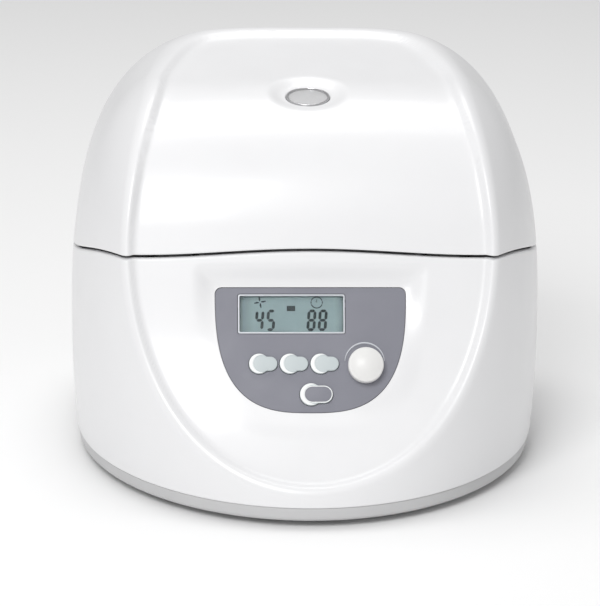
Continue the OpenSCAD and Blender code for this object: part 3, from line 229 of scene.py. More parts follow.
def set_smooth(piece, sharp=40):
    piece.data.shade_smooth()
    piece.data.set_sharp_from_angle(angle=math.radians(sharp))


def follow_skin(piece):
    """Shades a shell by the true slope of its outer skin, so its crease stays even."""
    mesh = piece.data
    flat = np.empty(len(mesh.vertices) * 3)
    mesh.vertices.foreach_get("co", flat)
    points = flat.reshape(-1, 3) / MM
    true = skin_normal(points)
    on_skin = np.abs(body_f(points)) < SKIN_NEAR
    faces = np.empty(len(mesh.polygons) * 3)
    mesh.polygons.foreach_get("normal", faces)
    faces = faces.reshape(-1, 3)
    sizes = np.empty(len(mesh.polygons), dtype=int)
    mesh.polygons.foreach_get("loop_total", sizes)
    corners = np.empty(len(mesh.loops), dtype=int)
    mesh.loops.foreach_get("vertex_index", corners)
    face_way = np.repeat(faces, sizes, axis=0)
    aligned = (face_way * true[corners]).sum(axis=1) > FACE_AGREES
    ways = np.where((on_skin[corners] & aligned)[:, None], true[corners], 0.0)
    mesh.normals_split_custom_set(ways.tolist())


def loft_faces(rows, count, offset=0, closed=True):
    a = np.arange(rows - 1)[:, None] * count
    b = np.arange(count if closed else count - 1)[None, :]
    c = (b + 1) % count
    quads = np.stack(np.broadcast_arrays(a + b, a + c, a + count + c, a + count + b), axis=-1)
    return (quads.reshape(-1, 4) + offset).tolist()


def tube_skin(name, rows, sharp=40, loop=True):
    """A closed skin through rings of points; loop joins the last ring to the first."""
    rows = np.asarray(rows)
    n, count = rows.shape[:2]
    faces = loft_faces(n, count)
    if loop:
        first = np.arange(count)
        last = first + (n - 1) * count
        faces += np.stack([last, np.roll(last, -1), np.roll(first, -1), first], axis=1).tolist()
    else:
        faces += [list(range(count))[::-1], [(n - 1) * count + i for i in range(count)]]
    return add_mesh(name, rows.reshape(-1, 3), faces, sharp)


def on_panel(points):
    points = np.asarray(points, float)
    return PANEL_TOP + points[..., 0:1] * np.array([1.0, 0, 0]) + points[..., 1:2] * PANEL_UP \
        + points[..., 2:3] * PANEL_N


def stack(name, levels, place=None, sharp=40):
    """A solid from outlines (an array of 2-D points) at heights."""
    rows = [np.column_stack([flat, np.full(len(flat), z)]) for flat, z in levels]
    rows = np.array(rows)
    return tube_skin(name, place(rows) if place else rows, sharp, loop=False)


def prism(name, flat, low, high, place=None):
    """A straight solid from one outline between two heights."""
    return stack(name, [(flat, low), (flat, high)], place)


def cut_with(piece, cutters):
    """Takes each cutter out of a piece, and removes the cutter."""
    for cutter in cutters:
        mod = piece.modifiers.new("cut", "BOOLEAN")
        mod.operation = "DIFFERENCE"
        mod.solver = "MANIFOLD"
        mod.object = cutter
        with bpy.context.temp_override(object=piece, active_object=piece, selected_objects=[piece]):
            bpy.ops.object.modifier_apply(modifier=mod.name)
        bpy.data.objects.remove(cutter)
    return piece


def round_rect(w, h, r, steps=8):
    points = []
    for cx, cy, start in ((1, 1, 0), (-1, 1, 90), (-1, -1, 180), (1, -1, 270)):
        for k in range(steps + 1):
            a = math.radians(start + 90 * k / steps)
            points.append(((w / 2 - r) * cx + r * math.cos(a), (h / 2 - r) * cy + r * math.sin(a)))
    return np.array(points)


def panel_shape(grow, steps=60):
    hw, h, r = PANEL_W / 2 + grow, PANEL_H + 2 * grow, PANEL_CORNER
    share = r / h
    side = hw * (1 - share ** PANEL_FULL) ** (1 / PANEL_FULL)
    right = []
    for k in range(10):
        a = math.radians(90 - 10 * k)
        right.append((side - r + r * math.cos(a), grow - r + r * math.sin(a)))
    for k in range(1, steps):
        t = share + (1 - share) * math.sin(math.radians(90 * k / steps))
        right.append((hw * max(1 - t ** PANEL_FULL, 0) ** (1 / PANEL_FULL), grow - t * h))
    left = [(-u, v) for u, v in reversed(right)]
    return np.array(right + [(0, grow - h)] + left)


def key_shape(d, tail_h, length, grow=0.0, steps=48):
    r1, r2 = d / 2 + grow, tail_h / 2 + grow
    end = length - d / 2 - tail_h / 2
    meet = math.atan2(r2, math.sqrt(max(r1 * r1 - r2 * r2, 0)))
    arc = np.linspace(meet, 2 * math.pi - meet, steps)
    tip = np.linspace(-math.pi / 2, math.pi / 2, steps // 2)
    return np.concatenate([
        np.column_stack([r1 * np.cos(arc), r1 * np.sin(arc)]),
        np.column_stack([end + r2 * np.cos(tip), r2 * np.sin(tip)]),
    ])


def circle(r, steps=96, centre=(0, 0)):
    a = np.arange(steps) * 2 * math.pi / steps
    return np.column_stack([centre[0] + r * np.cos(a), centre[1] + r * np.sin(a)])


def box_mesh(name, lo, hi):
    w, d = hi[0] - lo[0], hi[1] - lo[1]
    flat = np.array([(0, 0), (w, 0), (w, d), (0, d)]) + np.array(lo[:2])
    return prism(name, flat, lo[2], hi[2])


# The two shells

EDGE_R = 1.1
LIP = np.radians(np.linspace(0, 90, 7))
PANEL_LEDGE, PANEL_WELL, PANEL_CLEAR = 2.5, 16.0, 14.0
REAR_HOLE, REAR_WELL = (156.8, 76.8, 4), (151, 71, 4)
REAR_SEAT_Y, REAR_IN_Y, REAR_OUT_Y, REAR_MID_Z = 158.3, 140.0, 175.0, 66.0
HINGE_X, SLOT_HALF_W, SLOT_IN_Y, SLOT_OUT_Y = 60.0, 14.5, 142.0, 172.0
BASE_SLOT_Z, LID_SLOT_Z = (116.6, 146.6), (113.0, 128.5)
HOLE_GAP, HOLE_LIP = 0.3, 0.8


def hinge_slots(low, high):
    """Cutters for the two hinge recesses at the rear, between two levels."""
    return [box_mesh("slot", (s * HINGE_X - SLOT_HALF_W, SLOT_IN_Y, low), (s * HINGE_X + SLOT_HALF_W, SLOT_OUT_Y, high))
            for s in (-1, 1)]


def base_shell():
    """The white shell of the base, with its holes for the panel, the rear plate and the hinges."""
    tops = seam_ring(WIDE_Y) - SEAM_GAP / 2
    outer = [level_ring(BASE_Z + EDGE_R * (1 - math.cos(a)), EDGE_R * (1 - math.sin(a))) for a in LIP]
    low = BASE_Z + EDGE_R
    for t in np.linspace(0, 1, BASE_ROWS)[1:-1]:
        outer.append(level_ring(low + (tops - EDGE_R - low) * t, 0))
    outer += [level_ring(tops - EDGE_R * (1 - math.cos(a)), EDGE_R * (1 - math.sin(a))) for a in LIP[::-1]]
    inner = [level_ring(tops + (BASE_Z - tops) * t, WALL) for t in np.linspace(0, 1, BASE_INNER_ROWS)]
    shell = tube_skin("base_shell", outer + inner)
    cutters = [
        prism("panel_hole", panel_shape(PANEL_GAP), -PANEL_T - 0.2, PANEL_CLEAR, on_panel),
        prism("panel_well", panel_shape(-PANEL_LEDGE), -PANEL_WELL, PANEL_CLEAR, on_panel),
        prism("rear_hole", round_rect(*REAR_HOLE), REAR_SEAT_Y, REAR_OUT_Y, on_rear),
        prism("rear_well", round_rect(*REAR_WELL), REAR_IN_Y, REAR_OUT_Y, on_rear),
    ]
    cut_with(shell, cutters + hinge_slots(*BASE_SLOT_Z))
    set_smooth(shell)
    follow_skin(shell)
    return shell


def on_rear(points):
    points = np.asarray(points, float)
    return np.stack([points[..., 0], points[..., 2], REAR_MID_Z + points[..., 1]], axis=-1)


LID_CORE_Y = -SIGHT_Y


def lid_shell():
    """The white shell of the lid, with the round hole of its sight glass."""
    lows = seam_ring(LID_CORE_Y) + SEAM_GAP / 2
    outer = [level_ring(lows + EDGE_R * (1 - math.cos(a)), EDGE_R * (1 - math.sin(a)), LID_CORE_Y) for a in LIP]
    edge = outer[-1]
    low_tilt = np.arctan2(edge[:, 2] - SEAM_Z, np.hypot(edge[:, 0] - SPREAD, edge[:, 1] - LID_CORE_Y))

    def tilt_ring(tilt, inset, rise):
        """A ring at a tilt; its rays start closer together as it rises from 0 to 1."""
        way = np.column_stack([AROUND[:, 0] * np.cos(tilt), AROUND[:, 1] * np.cos(tilt), np.sin(tilt)])
        start = np.tile([0.0, LID_CORE_Y, SEAM_Z], (COLUMNS, 1))
        start[:, 0] = SPREAD * (1 - smooth(rise))
        return rays(start, way, inset)

    def hole_tilt(r, inset):
        return math.atan2(SIGHT_C[2] - SEAM_Z - inset, r)

    hole_r = SIGHT_D / 2 + HOLE_GAP
    top_tilt = hole_tilt(hole_r + HOLE_LIP, 0)
    for t in np.linspace(0, 1, LID_ROWS)[1:]:
        outer.append(tilt_ring(low_tilt + (top_tilt - low_tilt) * t, 0, t))
    for a in LIP[1:]:
        sink = HOLE_LIP * (1 - math.cos(a))
        tilt = hole_tilt(hole_r + HOLE_LIP * (1 - math.sin(a)), sink)
        outer.append(tilt_ring(np.full(COLUMNS, tilt), sink, 1))
    inner = []
    for t in np.linspace(1, 0, LID_INNER_ROWS):
        inner.append(tilt_ring(low_tilt + (hole_tilt(hole_r, WALL) - low_tilt) * t, WALL, t))
    inner.append(level_ring(lows, WALL, LID_CORE_Y))
    shell = tube_skin("lid_dome", outer + inner)
    cut_with(shell, hinge_slots(*LID_SLOT_Z))
    set_smooth(shell)
    follow_skin(shell)
    return shell


TRAY_INSET, TRAY_WALL, TRAY_EDGE_R, TRAY_FLOOR_Z = 0.6, 4.4, 2.6, 6.5
VENT_PITCH, VENT_HALF_W, VENT_FROM_Y, VENT_TO_Y = 9, 2, 74, 114
POST_SIDES, POST_FOOT_Z, POST_EDGE = 32, 6.0, 0.5


def tray():
    """The grey band and floor of the machine."""
    bottom = []
    for a in np.radians(np.linspace(0, 90, 8)):
        level, inset = FOOT_H + TRAY_EDGE_R * (1 - math.cos(a)), TRAY_INSET + TRAY_EDGE_R * (1 - math.sin(a))
        bottom.append(level_ring(level, inset))
    side = [level_ring(z, TRAY_INSET) for z in (8.0, 9.5, 11.0, 11.7, BASE_Z)]
    inside = [level_ring(z, TRAY_WALL) for z in (BASE_Z, 9.0, TRAY_FLOOR_Z)]
    centre = np.array([0, WIDE_Y, 0])

    def shrunk(ring, share):
        flat = centre + (ring - centre) * share
        flat[:, 2] = ring[:, 2]
        return flat

    under = [shrunk(bottom[0], s) for s in (0.02, 0.4, 0.8)]
    floor = [shrunk(inside[-1], s) for s in (0.8, 0.4, 0.02)]
    band = tube_skin("tray_band", under + bottom + side + inside + floor, loop=False)
    cutters = [box_mesh("vent", (i * VENT_PITCH - VENT_HALF_W, VENT_FROM_Y, 2),
                        (i * VENT_PITCH + VENT_HALF_W, VENT_TO_Y, 9)) for i in range(-4, 5)]
    cut_with(band, cutters)
    set_smooth(band)
    return band


def tray_posts():
    """The posts that stand on the tray under the deck, the main board and the supply."""
    posts = []
    for side in (-1, 1):
        for turn, reach in ((62, 110), (118, 118)):
            a = math.radians(turn)
            posts.append((side * reach * math.sin(a), AXIS_Y - reach * math.cos(a), 5.0, 114.0))
        for y in (-118, -62):
            posts.append((side * 68, y, 4.0, 14.0))
    for x in (-102, -78):
        for y in (104, 132):
            posts.append((x, y, 4.0, 9.5))
    points, faces = [], []
    for x, y, r, top in posts:
        ring = circle(r, POST_SIDES, (x, y))
        k = len(points)
        for z in (POST_FOOT_Z, top - POST_EDGE):
            points += [(px, py, z) for px, py in ring]
        points += [(x + (px - x) * 0.9, y + (py - y) * 0.9, top) for px, py in ring]
        faces += loft_faces(3, POST_SIDES, k)
        faces += [[k + i for i in range(POST_SIDES)][::-1], [k + 2 * POST_SIDES + i for i in range(POST_SIDES)]]
    return add_mesh("tray_posts", points, faces)


# Control panel: U to the right, V up, W out of the face, from its top middle

def at(u, v, w=0.0):
    """A function that places local points at U and V on the panel."""
    return lambda points: on_panel(np.asarray(points, float) + np.array([u, v, w]))


DISPLAY_U, DISPLAY_V, DISPLAY_W, DISPLAY_H = -11.0, -15.5, 61.8, 23.2
KEY_D, KEY_TAIL, KEY_LEN, KEY_V = 11.8, 8.3, 16.4, -45.0
KEY_US = (-29.8, -12.1, 5.6)
START_D, START_TAIL, START_LEN, START_V = 13.0, 10.2, 19.0, -63.0
KNOB_U, KNOB_V, KNOB_R, KNOB_H = 31.5, -46.5, 10.25, 9.5
KEY_TOP, KEY_GAP, KEY_EDGE_R = 1.6, 0.25, 0.45
CUT_LOW, CUT_HIGH = -4.0, 2.0


def rounded_levels(shape, low, high, r, steps=5):
    """Levels of a solid with a rounded top edge; shape takes a growth."""
    levels = [(shape(0), low), (shape(0), high - r)]
    for a in np.radians(np.linspace(0, 90, steps + 1))[1:]:
        levels.append((shape(-r * (1 - math.cos(a))), high - r + r * math.sin(a)))
    return levels


def control_panel():
    plate = stack("panel_plate", rounded_levels(panel_shape, -PANEL_T, 0, 0.25, 3), on_panel)
    openings = [(round_rect(62.4, 23.8, 1.5), DISPLAY_U, DISPLAY_V)]
    openings += [(key_shape(KEY_D, KEY_TAIL, KEY_LEN, KEY_GAP), u, KEY_V) for u in KEY_US]
    openings.append((key_shape(START_D, START_TAIL, START_LEN, KEY_GAP), 0, START_V))
    openings.append((circle(5), KNOB_U, KNOB_V))
    cutters = [prism("cut", shape, CUT_LOW, CUT_HIGH, at(u, v)) for shape, u, v in openings]
    cut_with(plate, cutters)
    set_smooth(plate, 30)
    return plate


def ridge(name, outer, inner, height, low, place):
    """A raised crescent between two curves that meet at both tips."""
    n = len(outer)
    across = np.linspace(0, math.pi, 9)
    thick = np.hypot(*(outer - inner).T)
    share = np.sqrt(np.clip(thick / thick.max(), 0, 1))
    rows = []
    for i in range(n):
        mix = (1 - np.cos(across)) / 2
        flat = outer[i] * (1 - mix[:, None]) + inner[i] * mix[:, None]
        top = np.column_stack([flat, low + 0.05 + height * share[i] * np.sin(across) ** 0.6])
        under = np.array([[*inner[i], low], [*outer[i], low]])
        rows.append(np.vstack([top, under]))
    return tube_skin(name, place(np.array(rows)), 60, loop=False)


def crescent(r_out, r_in, shift, steps=60):
    """Outer and inner arcs of a crescent that is thickest at the left."""
    x = (r_out ** 2 - r_in ** 2 + shift ** 2) / (2 * shift)
    a = np.linspace(math.acos(x / r_out), 2 * math.pi - math.acos(x / r_out), steps)
    b0 = math.acos(max(-1, min(1, (x - shift) / r_in)))
    b = np.linspace(b0, 2 * math.pi - b0, steps)
    outer = np.column_stack([r_out * np.cos(a), r_out * np.sin(a)])
    inner = np.column_stack([shift + r_in * np.cos(b), r_in * np.sin(b)])
    return outer, inner


def small_key(index, u):
    name = ("key_one", "key_two", "key_three")[index]
    place = at(u, KEY_V)
    shape = lambda grow: key_shape(KEY_D, KEY_TAIL, KEY_LEN, grow)
    cap = stack(name + "_cap", rounded_levels(shape, -5, KEY_TOP, KEY_EDGE_R), place, 50)
    outer, inner = crescent(KEY_D / 2 - 0.1, 5.1, 1.8)
    rim = ridge(name + "_crescent", outer, inner, 0.55, KEY_TOP - 0.15, place)
    return cap, rim


def start_key():
    place = at(0, START_V)
    shape = lambda grow: key_shape(START_D, START_TAIL, START_LEN, grow)
    cap = stack("start_cap", rounded_levels(shape, -5, KEY_TOP, KEY_EDGE_R), place, 50)
    outer, inner = crescent(START_D / 2 - 0.1, 5.6, 2.1)
    rim = ridge("start_crescent", outer, inner, 0.8, KEY_TOP - 0.15, place)
    half = START_TAIL / 2
    end = START_LEN - START_D / 2 - half
    pill = lambda grow: pill_shape(0.8, end, half - 0.75 + grow)
    inset = stack("start_inset", rounded_levels(pill, KEY_TOP - 0.1, KEY_TOP + 0.12, 0.1, 2), place, 60)
    path = pill_shape(0.8, end, half - 0.4)
    wire = closed_wire("start_outline", path, 0.33, KEY_TOP + 0.02, place)
    return cap, rim, inset, wire


def pill_shape(x0, x1, r, steps=24):
    right = np.linspace(-math.pi / 2, math.pi / 2, steps)
    left = np.linspace(math.pi / 2, 3 * math.pi / 2, steps)
    return np.concatenate([
        np.column_stack([x1 + r * np.cos(right), r * np.sin(right)]),
        np.column_stack([x0 + r * np.cos(left), r * np.sin(left)]),
    ])


def closed_wire(name, path, r, w, place, steps=8):
    """A round line along a closed flat path."""
    n = len(path)
    ahead = np.roll(path, -1, axis=0) - np.roll(path, 1, axis=0)
    ahead /= np.maximum(np.linalg.norm(ahead, axis=1)[:, None], 1e-9)
    side = np.column_stack([ahead[:, 1], -ahead[:, 0]])
    rows = []
    for k in range(steps):
        a = 2 * math.pi * k / steps
        flat = path + side * r * math.cos(a)
        rows.append(np.column_stack([flat, np.full(n, w + r * math.sin(a))]))
    return tube_skin(name, place(np.array(rows)), 80)


def open_ridge(name, path, widths, height, w, place):
    """A raised line with its own width at each point of an open path."""
    ahead = np.gradient(path, axis=0)
    ahead /= np.linalg.norm(ahead, axis=1)[:, None]
    side = np.column_stack([ahead[:, 1], -ahead[:, 0]]) * (np.asarray(widths)[:, None] / 2)
    return ridge(name, path + side, path - side, height, w, place)


def knob_profile():
    """Half the knob's section: a cylinder with a soft edge and a low ball-shaped crown."""
    r, crown, edge = KNOB_R, 3.0, 1.6
    ball = (r * r + crown * crown) / (2 * crown)
    points = [(3.05, 0.7), (r - 1.0, 0.6), (r - 0.35, 0.9), (r - 0.1, 1.6)]
    points.append((r, KNOB_H - crown - edge))
    start = math.asin((r - edge * 0.75) / ball)
    side_top = ball * math.cos(start) - ball + KNOB_H
    for k in range(1, 8):
        a = math.pi / 2 * k / 8
        points.append((r - edge * 0.75 * (1 - math.cos(a)), side_top - edge * (1 - math.sin(a)) * 0.9))
    for k in range(24):
        a = start * (1 - k / 24)
        points.append((ball * math.sin(a), ball * math.cos(a) - ball + KNOB_H))
    return points


def revolve(name, profile, place, steps=128, sharp=50, loop=False):
    a = np.arange(steps) * 2 * math.pi / steps
    rows = [np.column_stack([r * np.cos(a), r * np.sin(a), np.full(steps, z)]) for r, z in profile]
    return tube_skin(name, place(np.array(rows)), sharp, loop)


def knob():
    cap = revolve("knob_cap", knob_profile(), at(KNOB_U, KNOB_V))
    a = np.radians(np.linspace(4, 176, 80))
    path = np.column_stack([11.4 * np.cos(a), 11.4 * np.sin(a)])
    widths = 0.25 + 0.75 * np.sin(a) ** 0.8
    arc = open_ridge("knob_arc_line", path, widths, 0.6, -0.05, at(KNOB_U - 0.5, KNOB_V + 2.45))
    return cap, arc


SEGMENTS = {
    "a": ((0.0, 1.0), (1.0, 1.0)), "g": ((0.0, 0.5), (1.0, 0.5)), "d": ((0.0, 0.0), (1.0, 0.0)),
    "f": ((0.0, 0.53), (0.0, 0.98)), "b": ((1.0, 0.53), (1.0, 0.98)),
    "e": ((0.0, 0.02), (0.0, 0.47)), "c": ((1.0, 0.02), (1.0, 0.47)),
}
DIGITS = {"4": "fgbc", "5": "afgcd", "8": "abcdefg"}


STROKE = 1.65
DIGIT_V, DIGIT_H = -8.8, 11.0
DIGIT_PLACES = (("4", -19.9, 3.4), ("5", -13.3, 3.4), ("8", 10.1, 3.5), ("8", 16.6, 3.5))
FAN_AT, FAN_SCALE, CLOCK_AT, CLOCK_R, CLOCK_IN = (-18.1, 7.4), 1.15, (14.7, 7.2), 3.55, 3.0
INK_LOW, INK_HIGH = -2.26, -2.1


def bar(p, q, t, slant=0.08):
    """A segment with pointed ends, as a flat outline."""
    p, q = np.array(p, float), np.array(q, float)
    along = (q - p) / np.linalg.norm(q - p)
    side = np.array([-along[1], along[0]]) * t / 2
    points = np.array([p, p + along * t / 2 + side, q - along * t / 2 + side, q,
                       q - along * t / 2 - side, p + along * t / 2 - side])
    points[:, 0] += points[:, 1] * slant
    return points


def display_marks():
    """Digits, fan and clock signs on the display, as thin flat solids."""
    solids = []

    def put(flat):
        solids.append(np.asarray(flat, float))

    def digit(text, u, v, w, h):
        for s in DIGITS[text]:
            (x0, y0), (x1, y1) = SEGMENTS[s]
            put(bar((u + x0 * w, v + y0 * h), (u + x1 * w, v + y1 * h), STROKE))

    for text, u, w in DIGIT_PLACES:
        digit(text, u, DIGIT_V, w, DIGIT_H)
    put(np.array([(-2.6, 2.2), (2.2, 2.2), (2.2, 5.2), (-2.6, 5.2)]))
    fan = np.array(FAN_AT)
    for k in range(4):
        a = math.radians(90 * k + 12)
        turn = np.array([[math.cos(a), math.sin(a)], [-math.sin(a), math.cos(a)]])
        blade = np.array([(0.5, -0.1), (1.5, -0.55), (2.9, -0.3), (3.0, 0.15), (1.6, 0.35), (0.6, 0.3)])
        put(fan + FAN_SCALE * blade @ turn)
    clock = np.array(CLOCK_AT)
    for start, stop in ((-160, -20), (-12, 12), (20, 160), (168, 192)):
        a = np.radians(np.linspace(start, stop, 16))
        out, back = np.column_stack([np.cos(a), np.sin(a)]), np.column_stack([np.cos(a[::-1]), np.sin(a[::-1])])
        put(clock + np.concatenate([CLOCK_R * out, CLOCK_IN * back]))
    put(clock + np.array([(-0.15, 0.0), (0.15, 0.0), (0.15, 1.9), (-0.15, 1.9)]))
    put(clock + np.array([(-1.2, 1.0), (-0.9, 0.9), (0.1, 0.0), (-0.1, 0.0)]))
    points, faces = [], []
    for flat in solids:
        n, k = len(flat), len(points)
        for z in (INK_LOW, INK_HIGH):
            points += [(x, y, z) for x, y in flat]
        faces += [[k + i for i in range(n)][::-1], [k + n + i for i in range(n)]]
        faces += [[k + i, k + (i + 1) % n, k + n + (i + 1) % n, k + n + i] for i in range(n)]
    placed = at(DISPLAY_U, DISPLAY_V)(np.array(points))
    return add_mesh("display_marks", placed, faces, 20)


def display():
    """The display's rim, ground, cover and marks."""
    rim_out = lambda grow: round_rect(DISPLAY_W + 2 * grow, DISPLAY_H + 2 * grow, 1.2)
    rim = stack("display_rim", rounded_levels(rim_out, -2.1, 0.22, 0.2, 3), at(DISPLAY_U, DISPLAY_V))
    hole = round_rect(DISPLAY_W - 1.8, DISPLAY_H - 1.8, 0.8)
    cut_with(rim, [prism("cut", hole, -5, 3, at(DISPLAY_U, DISPLAY_V))])
    set_smooth(rim, 30)
    flat = round_rect(DISPLAY_W - 1.9, DISPLAY_H - 1.9, 0.8)
    screen = prism("display_screen", flat, -7.9, -2.25, at(DISPLAY_U, DISPLAY_V))
    glass = prism("display_glass", flat, -1.3, -0.7, at(DISPLAY_U, DISPLAY_V))
    return rim, screen, glass, display_marks()


def sight_place(points):
    points = np.asarray(points, float)
    side = np.array([1.0, 0, 0])
    up = np.cross(SIGHT_N, side)
    return SIGHT_C + points[..., 0:1] * side + points[..., 1:2] * up + points[..., 2:3] * SIGHT_N


def sight():
    """The sight glass and the rim round it."""
    r = SIGHT_D / 2
    rim = [(r - 1.5, -3.1), (r, -3.1), (r, 0.35), (r - 0.15, 0.6), (r - 0.5, 0.72), (r - 0.95, 0.6), (r - 1.15, 0.3),
           (r - 1.3, -0.4)]
    ring = revolve("sight_bezel", rim, sight_place, loop=True)
    dome_r = r - 1.3
    lens = [(dome_r, -3.0), (dome_r, -0.5)]
    for k in range(1, 16):
        s = 1 - k / 16
        lens.append((dome_r * s, -0.5 + 0.55 * (1 - s * s)))
    pane = revolve("sight_lens", lens, sight_place)
    return ring, pane


# Materials

def new_material(name):
    mat = bpy.data.materials.new(name)
    mat.use_nodes = True
    nodes = mat.node_tree.nodes
    return mat, nodes, mat.node_tree.links, nodes["Principled BSDF"]


def noise(nodes, links, coord, scale, detail=4.0, rough=0.55):
    tex = nodes.new("ShaderNodeTexNoise")
    tex.inputs["Scale"].default_value = scale
    tex.inputs["Detail"].default_value = detail
    tex.inputs["Roughness"].default_value = rough
    links.new(coord, tex.inputs["Vector"])
    return tex.outputs["Fac"]


def ramp(nodes, links, fac, stops):
    node = nodes.new("ShaderNodeValToRGB")
    elements = node.color_ramp.elements
    while len(elements) < len(stops):
        elements.new(0.5)
    for element, (place, color) in zip(elements, stops):
        element.position = place
        element.color = (*color, 1)
    links.new(fac, node.inputs["Fac"])
    return node.outputs["Color"]


def spread(nodes, links, fac, low, high):
    node = nodes.new("ShaderNodeMapRange")
    node.inputs["To Min"].default_value = low
    node.inputs["To Max"].default_value = high
    node.inputs["From Min"].default_value = 0.3
    node.inputs["From Max"].default_value = 0.7
    links.new(fac, node.inputs["Value"])
    return node.outputs["Result"]


def shade(color, share):
    return tuple(min(1, c * share) for c in color)


def edge_mask(nodes, links, radius):
    """Bright along the edges of a piece, from the difference of a rounded and the true normal."""
    bevel = nodes.new("ShaderNodeBevel")
    bevel.samples = 4
    bevel.inputs["Radius"].default_value = radius
    geometry = nodes.new("ShaderNodeNewGeometry")
    dot = nodes.new("ShaderNodeVectorMath")
    dot.operation = "DOT_PRODUCT"
    links.new(bevel.outputs["Normal"], dot.inputs[0])
    links.new(geometry.outputs["Normal"], dot.inputs[1])
    mask = nodes.new("ShaderNodeMapRange")
    mask.inputs["From Min"].default_value = 0.98
    mask.inputs["From Max"].default_value = 0.75
    mask.inputs["To Min"].default_value = 0
    mask.inputs["To Max"].default_value = 1
    links.new(dot.outputs["Value"], mask.inputs["Value"])
    return mask.outputs["Result"], bevel.outputs["Normal"]


def surface(name, color, rough, metallic=0.0, vary=0.03, grain=900.0, bump=0.04, wear=1.08, coat=0.0,
            edge=0.0004, streak=None):
    """Moulded, painted or metal stuff with mottled colour, uneven gloss, grain and lighter edges."""
    mat, nodes, links, bsdf = new_material(name)
    coord = nodes.new("ShaderNodeTexCoord").outputs["Object"]
    broad = noise(nodes, links, coord, 18.0)
    colour = ramp(nodes, links, broad, [(0.3, shade(color, 1 - vary)), (0.7, shade(color, 1 + vary))])
    mask, rounded = edge_mask(nodes, links, edge)
    worn = nodes.new("ShaderNodeMixRGB")
    worn.inputs["Color2"].default_value = (*shade(color, wear), 1)
    links.new(mask, worn.inputs["Fac"])
    links.new(colour, worn.inputs["Color1"])
    links.new(worn.outputs["Color"], bsdf.inputs["Base Color"])
    gloss = noise(nodes, links, coord, 60.0)
    links.new(spread(nodes, links, gloss, rough * 0.85, min(1.0, rough * 1.15)), bsdf.inputs["Roughness"])
    fine_coord = coord
    if streak:
        stretch = nodes.new("ShaderNodeMapping")
        stretch.inputs["Scale"].default_value = streak
        links.new(coord, stretch.inputs["Vector"])
        fine_coord = stretch.outputs["Vector"]
    fine = noise(nodes, links, fine_coord, grain, 2.0)
    relief = nodes.new("ShaderNodeBump")
    relief.inputs["Strength"].default_value = bump
    relief.inputs["Distance"].default_value = 0.0002
    links.new(fine, relief.inputs["Height"])
    links.new(rounded, relief.inputs["Normal"])
    links.new(relief.outputs["Normal"], bsdf.inputs["Normal"])
    bsdf.inputs["Metallic"].default_value = metallic
    bsdf.inputs["Coat Weight"].default_value = coat
    bsdf.inputs["Coat Roughness"].default_value = 0.12
    return mat


def clear_material(name, tint, rough=0.05, through=0.9):
    mat, nodes, links, bsdf = new_material(name)
    coord = nodes.new("ShaderNodeTexCoord").outputs["Object"]
    gloss = noise(nodes, links, coord, 90.0)
    links.new(spread(nodes, links, gloss, rough, rough * 2), bsdf.inputs["Roughness"])
    colour = ramp(nodes, links, noise(nodes, links, coord, 30.0),
                  [(0.3, shade(tint, 0.96)), (0.7, shade(tint, 1.03))])
    links.new(colour, bsdf.inputs["Base Color"])
    bsdf.inputs["Transmission Weight"].default_value = through
    bsdf.inputs["IOR"].default_value = 1.2
    return mat


def rise_between(nodes, links, value, start, stop, least=0.0):
    """Rises from least to 1 as a value goes from start to stop, both in millimetres."""
    node = nodes.new("ShaderNodeMapRange")
    node.inputs["From Min"].default_value = start * MM
    node.inputs["From Max"].default_value = stop * MM
    node.inputs["To Min"].default_value = least
    links.new(value, node.inputs["Value"])
    return node.outputs["Result"]


def screen_material(name, light, painted_edge_shade):
    """The display's ground with painted shade: paler in the middle, darker towards its left, right and top edges, where
    the rim would shade the sunken screen.
    """
    mat, nodes, links, bsdf = new_material(name)
    coord = nodes.new("ShaderNodeTexCoord").outputs["Object"]
    split = nodes.new("ShaderNodeSeparateXYZ")
    links.new(coord, split.inputs["Vector"])
    across, height = split.outputs["X"], split.outputs["Z"]
    left_u, right_u = DISPLAY_U - DISPLAY_W / 2, DISPLAY_U + DISPLAY_W / 2
    middle_z, lean = on_panel(np.array([DISPLAY_U, DISPLAY_V, -2.2]))[2], math.cos(PANEL_LEAN)
    # Painted shade: masks that fall off towards the left, right and top edges are multiplied together and stand in for
    # the rim's shadow on the screen.
    least = rise_between(nodes, links, across, left_u, left_u + 9)
    right = rise_between(nodes, links, across, right_u, right_u - 6)
    top_z, soft_z = middle_z + DISPLAY_H / 2 * lean, middle_z + (DISPLAY_H / 2 - 5) * lean
    top = rise_between(nodes, links, height, top_z, soft_z, 0.45)
    for other in (right, top):
        node = nodes.new("ShaderNodeMath")
        node.operation = "MULTIPLY"
        links.new(least, node.inputs[0])
        links.new(other, node.inputs[1])
        least = node.outputs["Value"]
    # Painted shade: the ground's colour runs from the shade colour at the edges, through a shaded copy, to its own
    # colour in the middle.
    colour = ramp(nodes, links, least, [(0.0, painted_edge_shade), (0.35, shade(light, 0.72)), (1.0, light)])
    cloud = ramp(nodes, links, noise(nodes, links, coord, 250.0), [(0.3, (0.93,) * 3), (0.7, (1.0,) * 3)])
    mixed = nodes.new("ShaderNodeMixRGB")
    mixed.blend_type = "MULTIPLY"
    mixed.inputs["Fac"].default_value = 1.0
    links.new(colour, mixed.inputs["Color1"])
    links.new(cloud, mixed.inputs["Color2"])
    links.new(mixed.outputs["Color"], bsdf.inputs["Base Color"])
    links.new(mixed.outputs["Color"], bsdf.inputs["Emission Color"])
    bsdf.inputs["Emission Strength"].default_value = 0.12
    bsdf.inputs["Roughness"].default_value = 0.35
    return mat


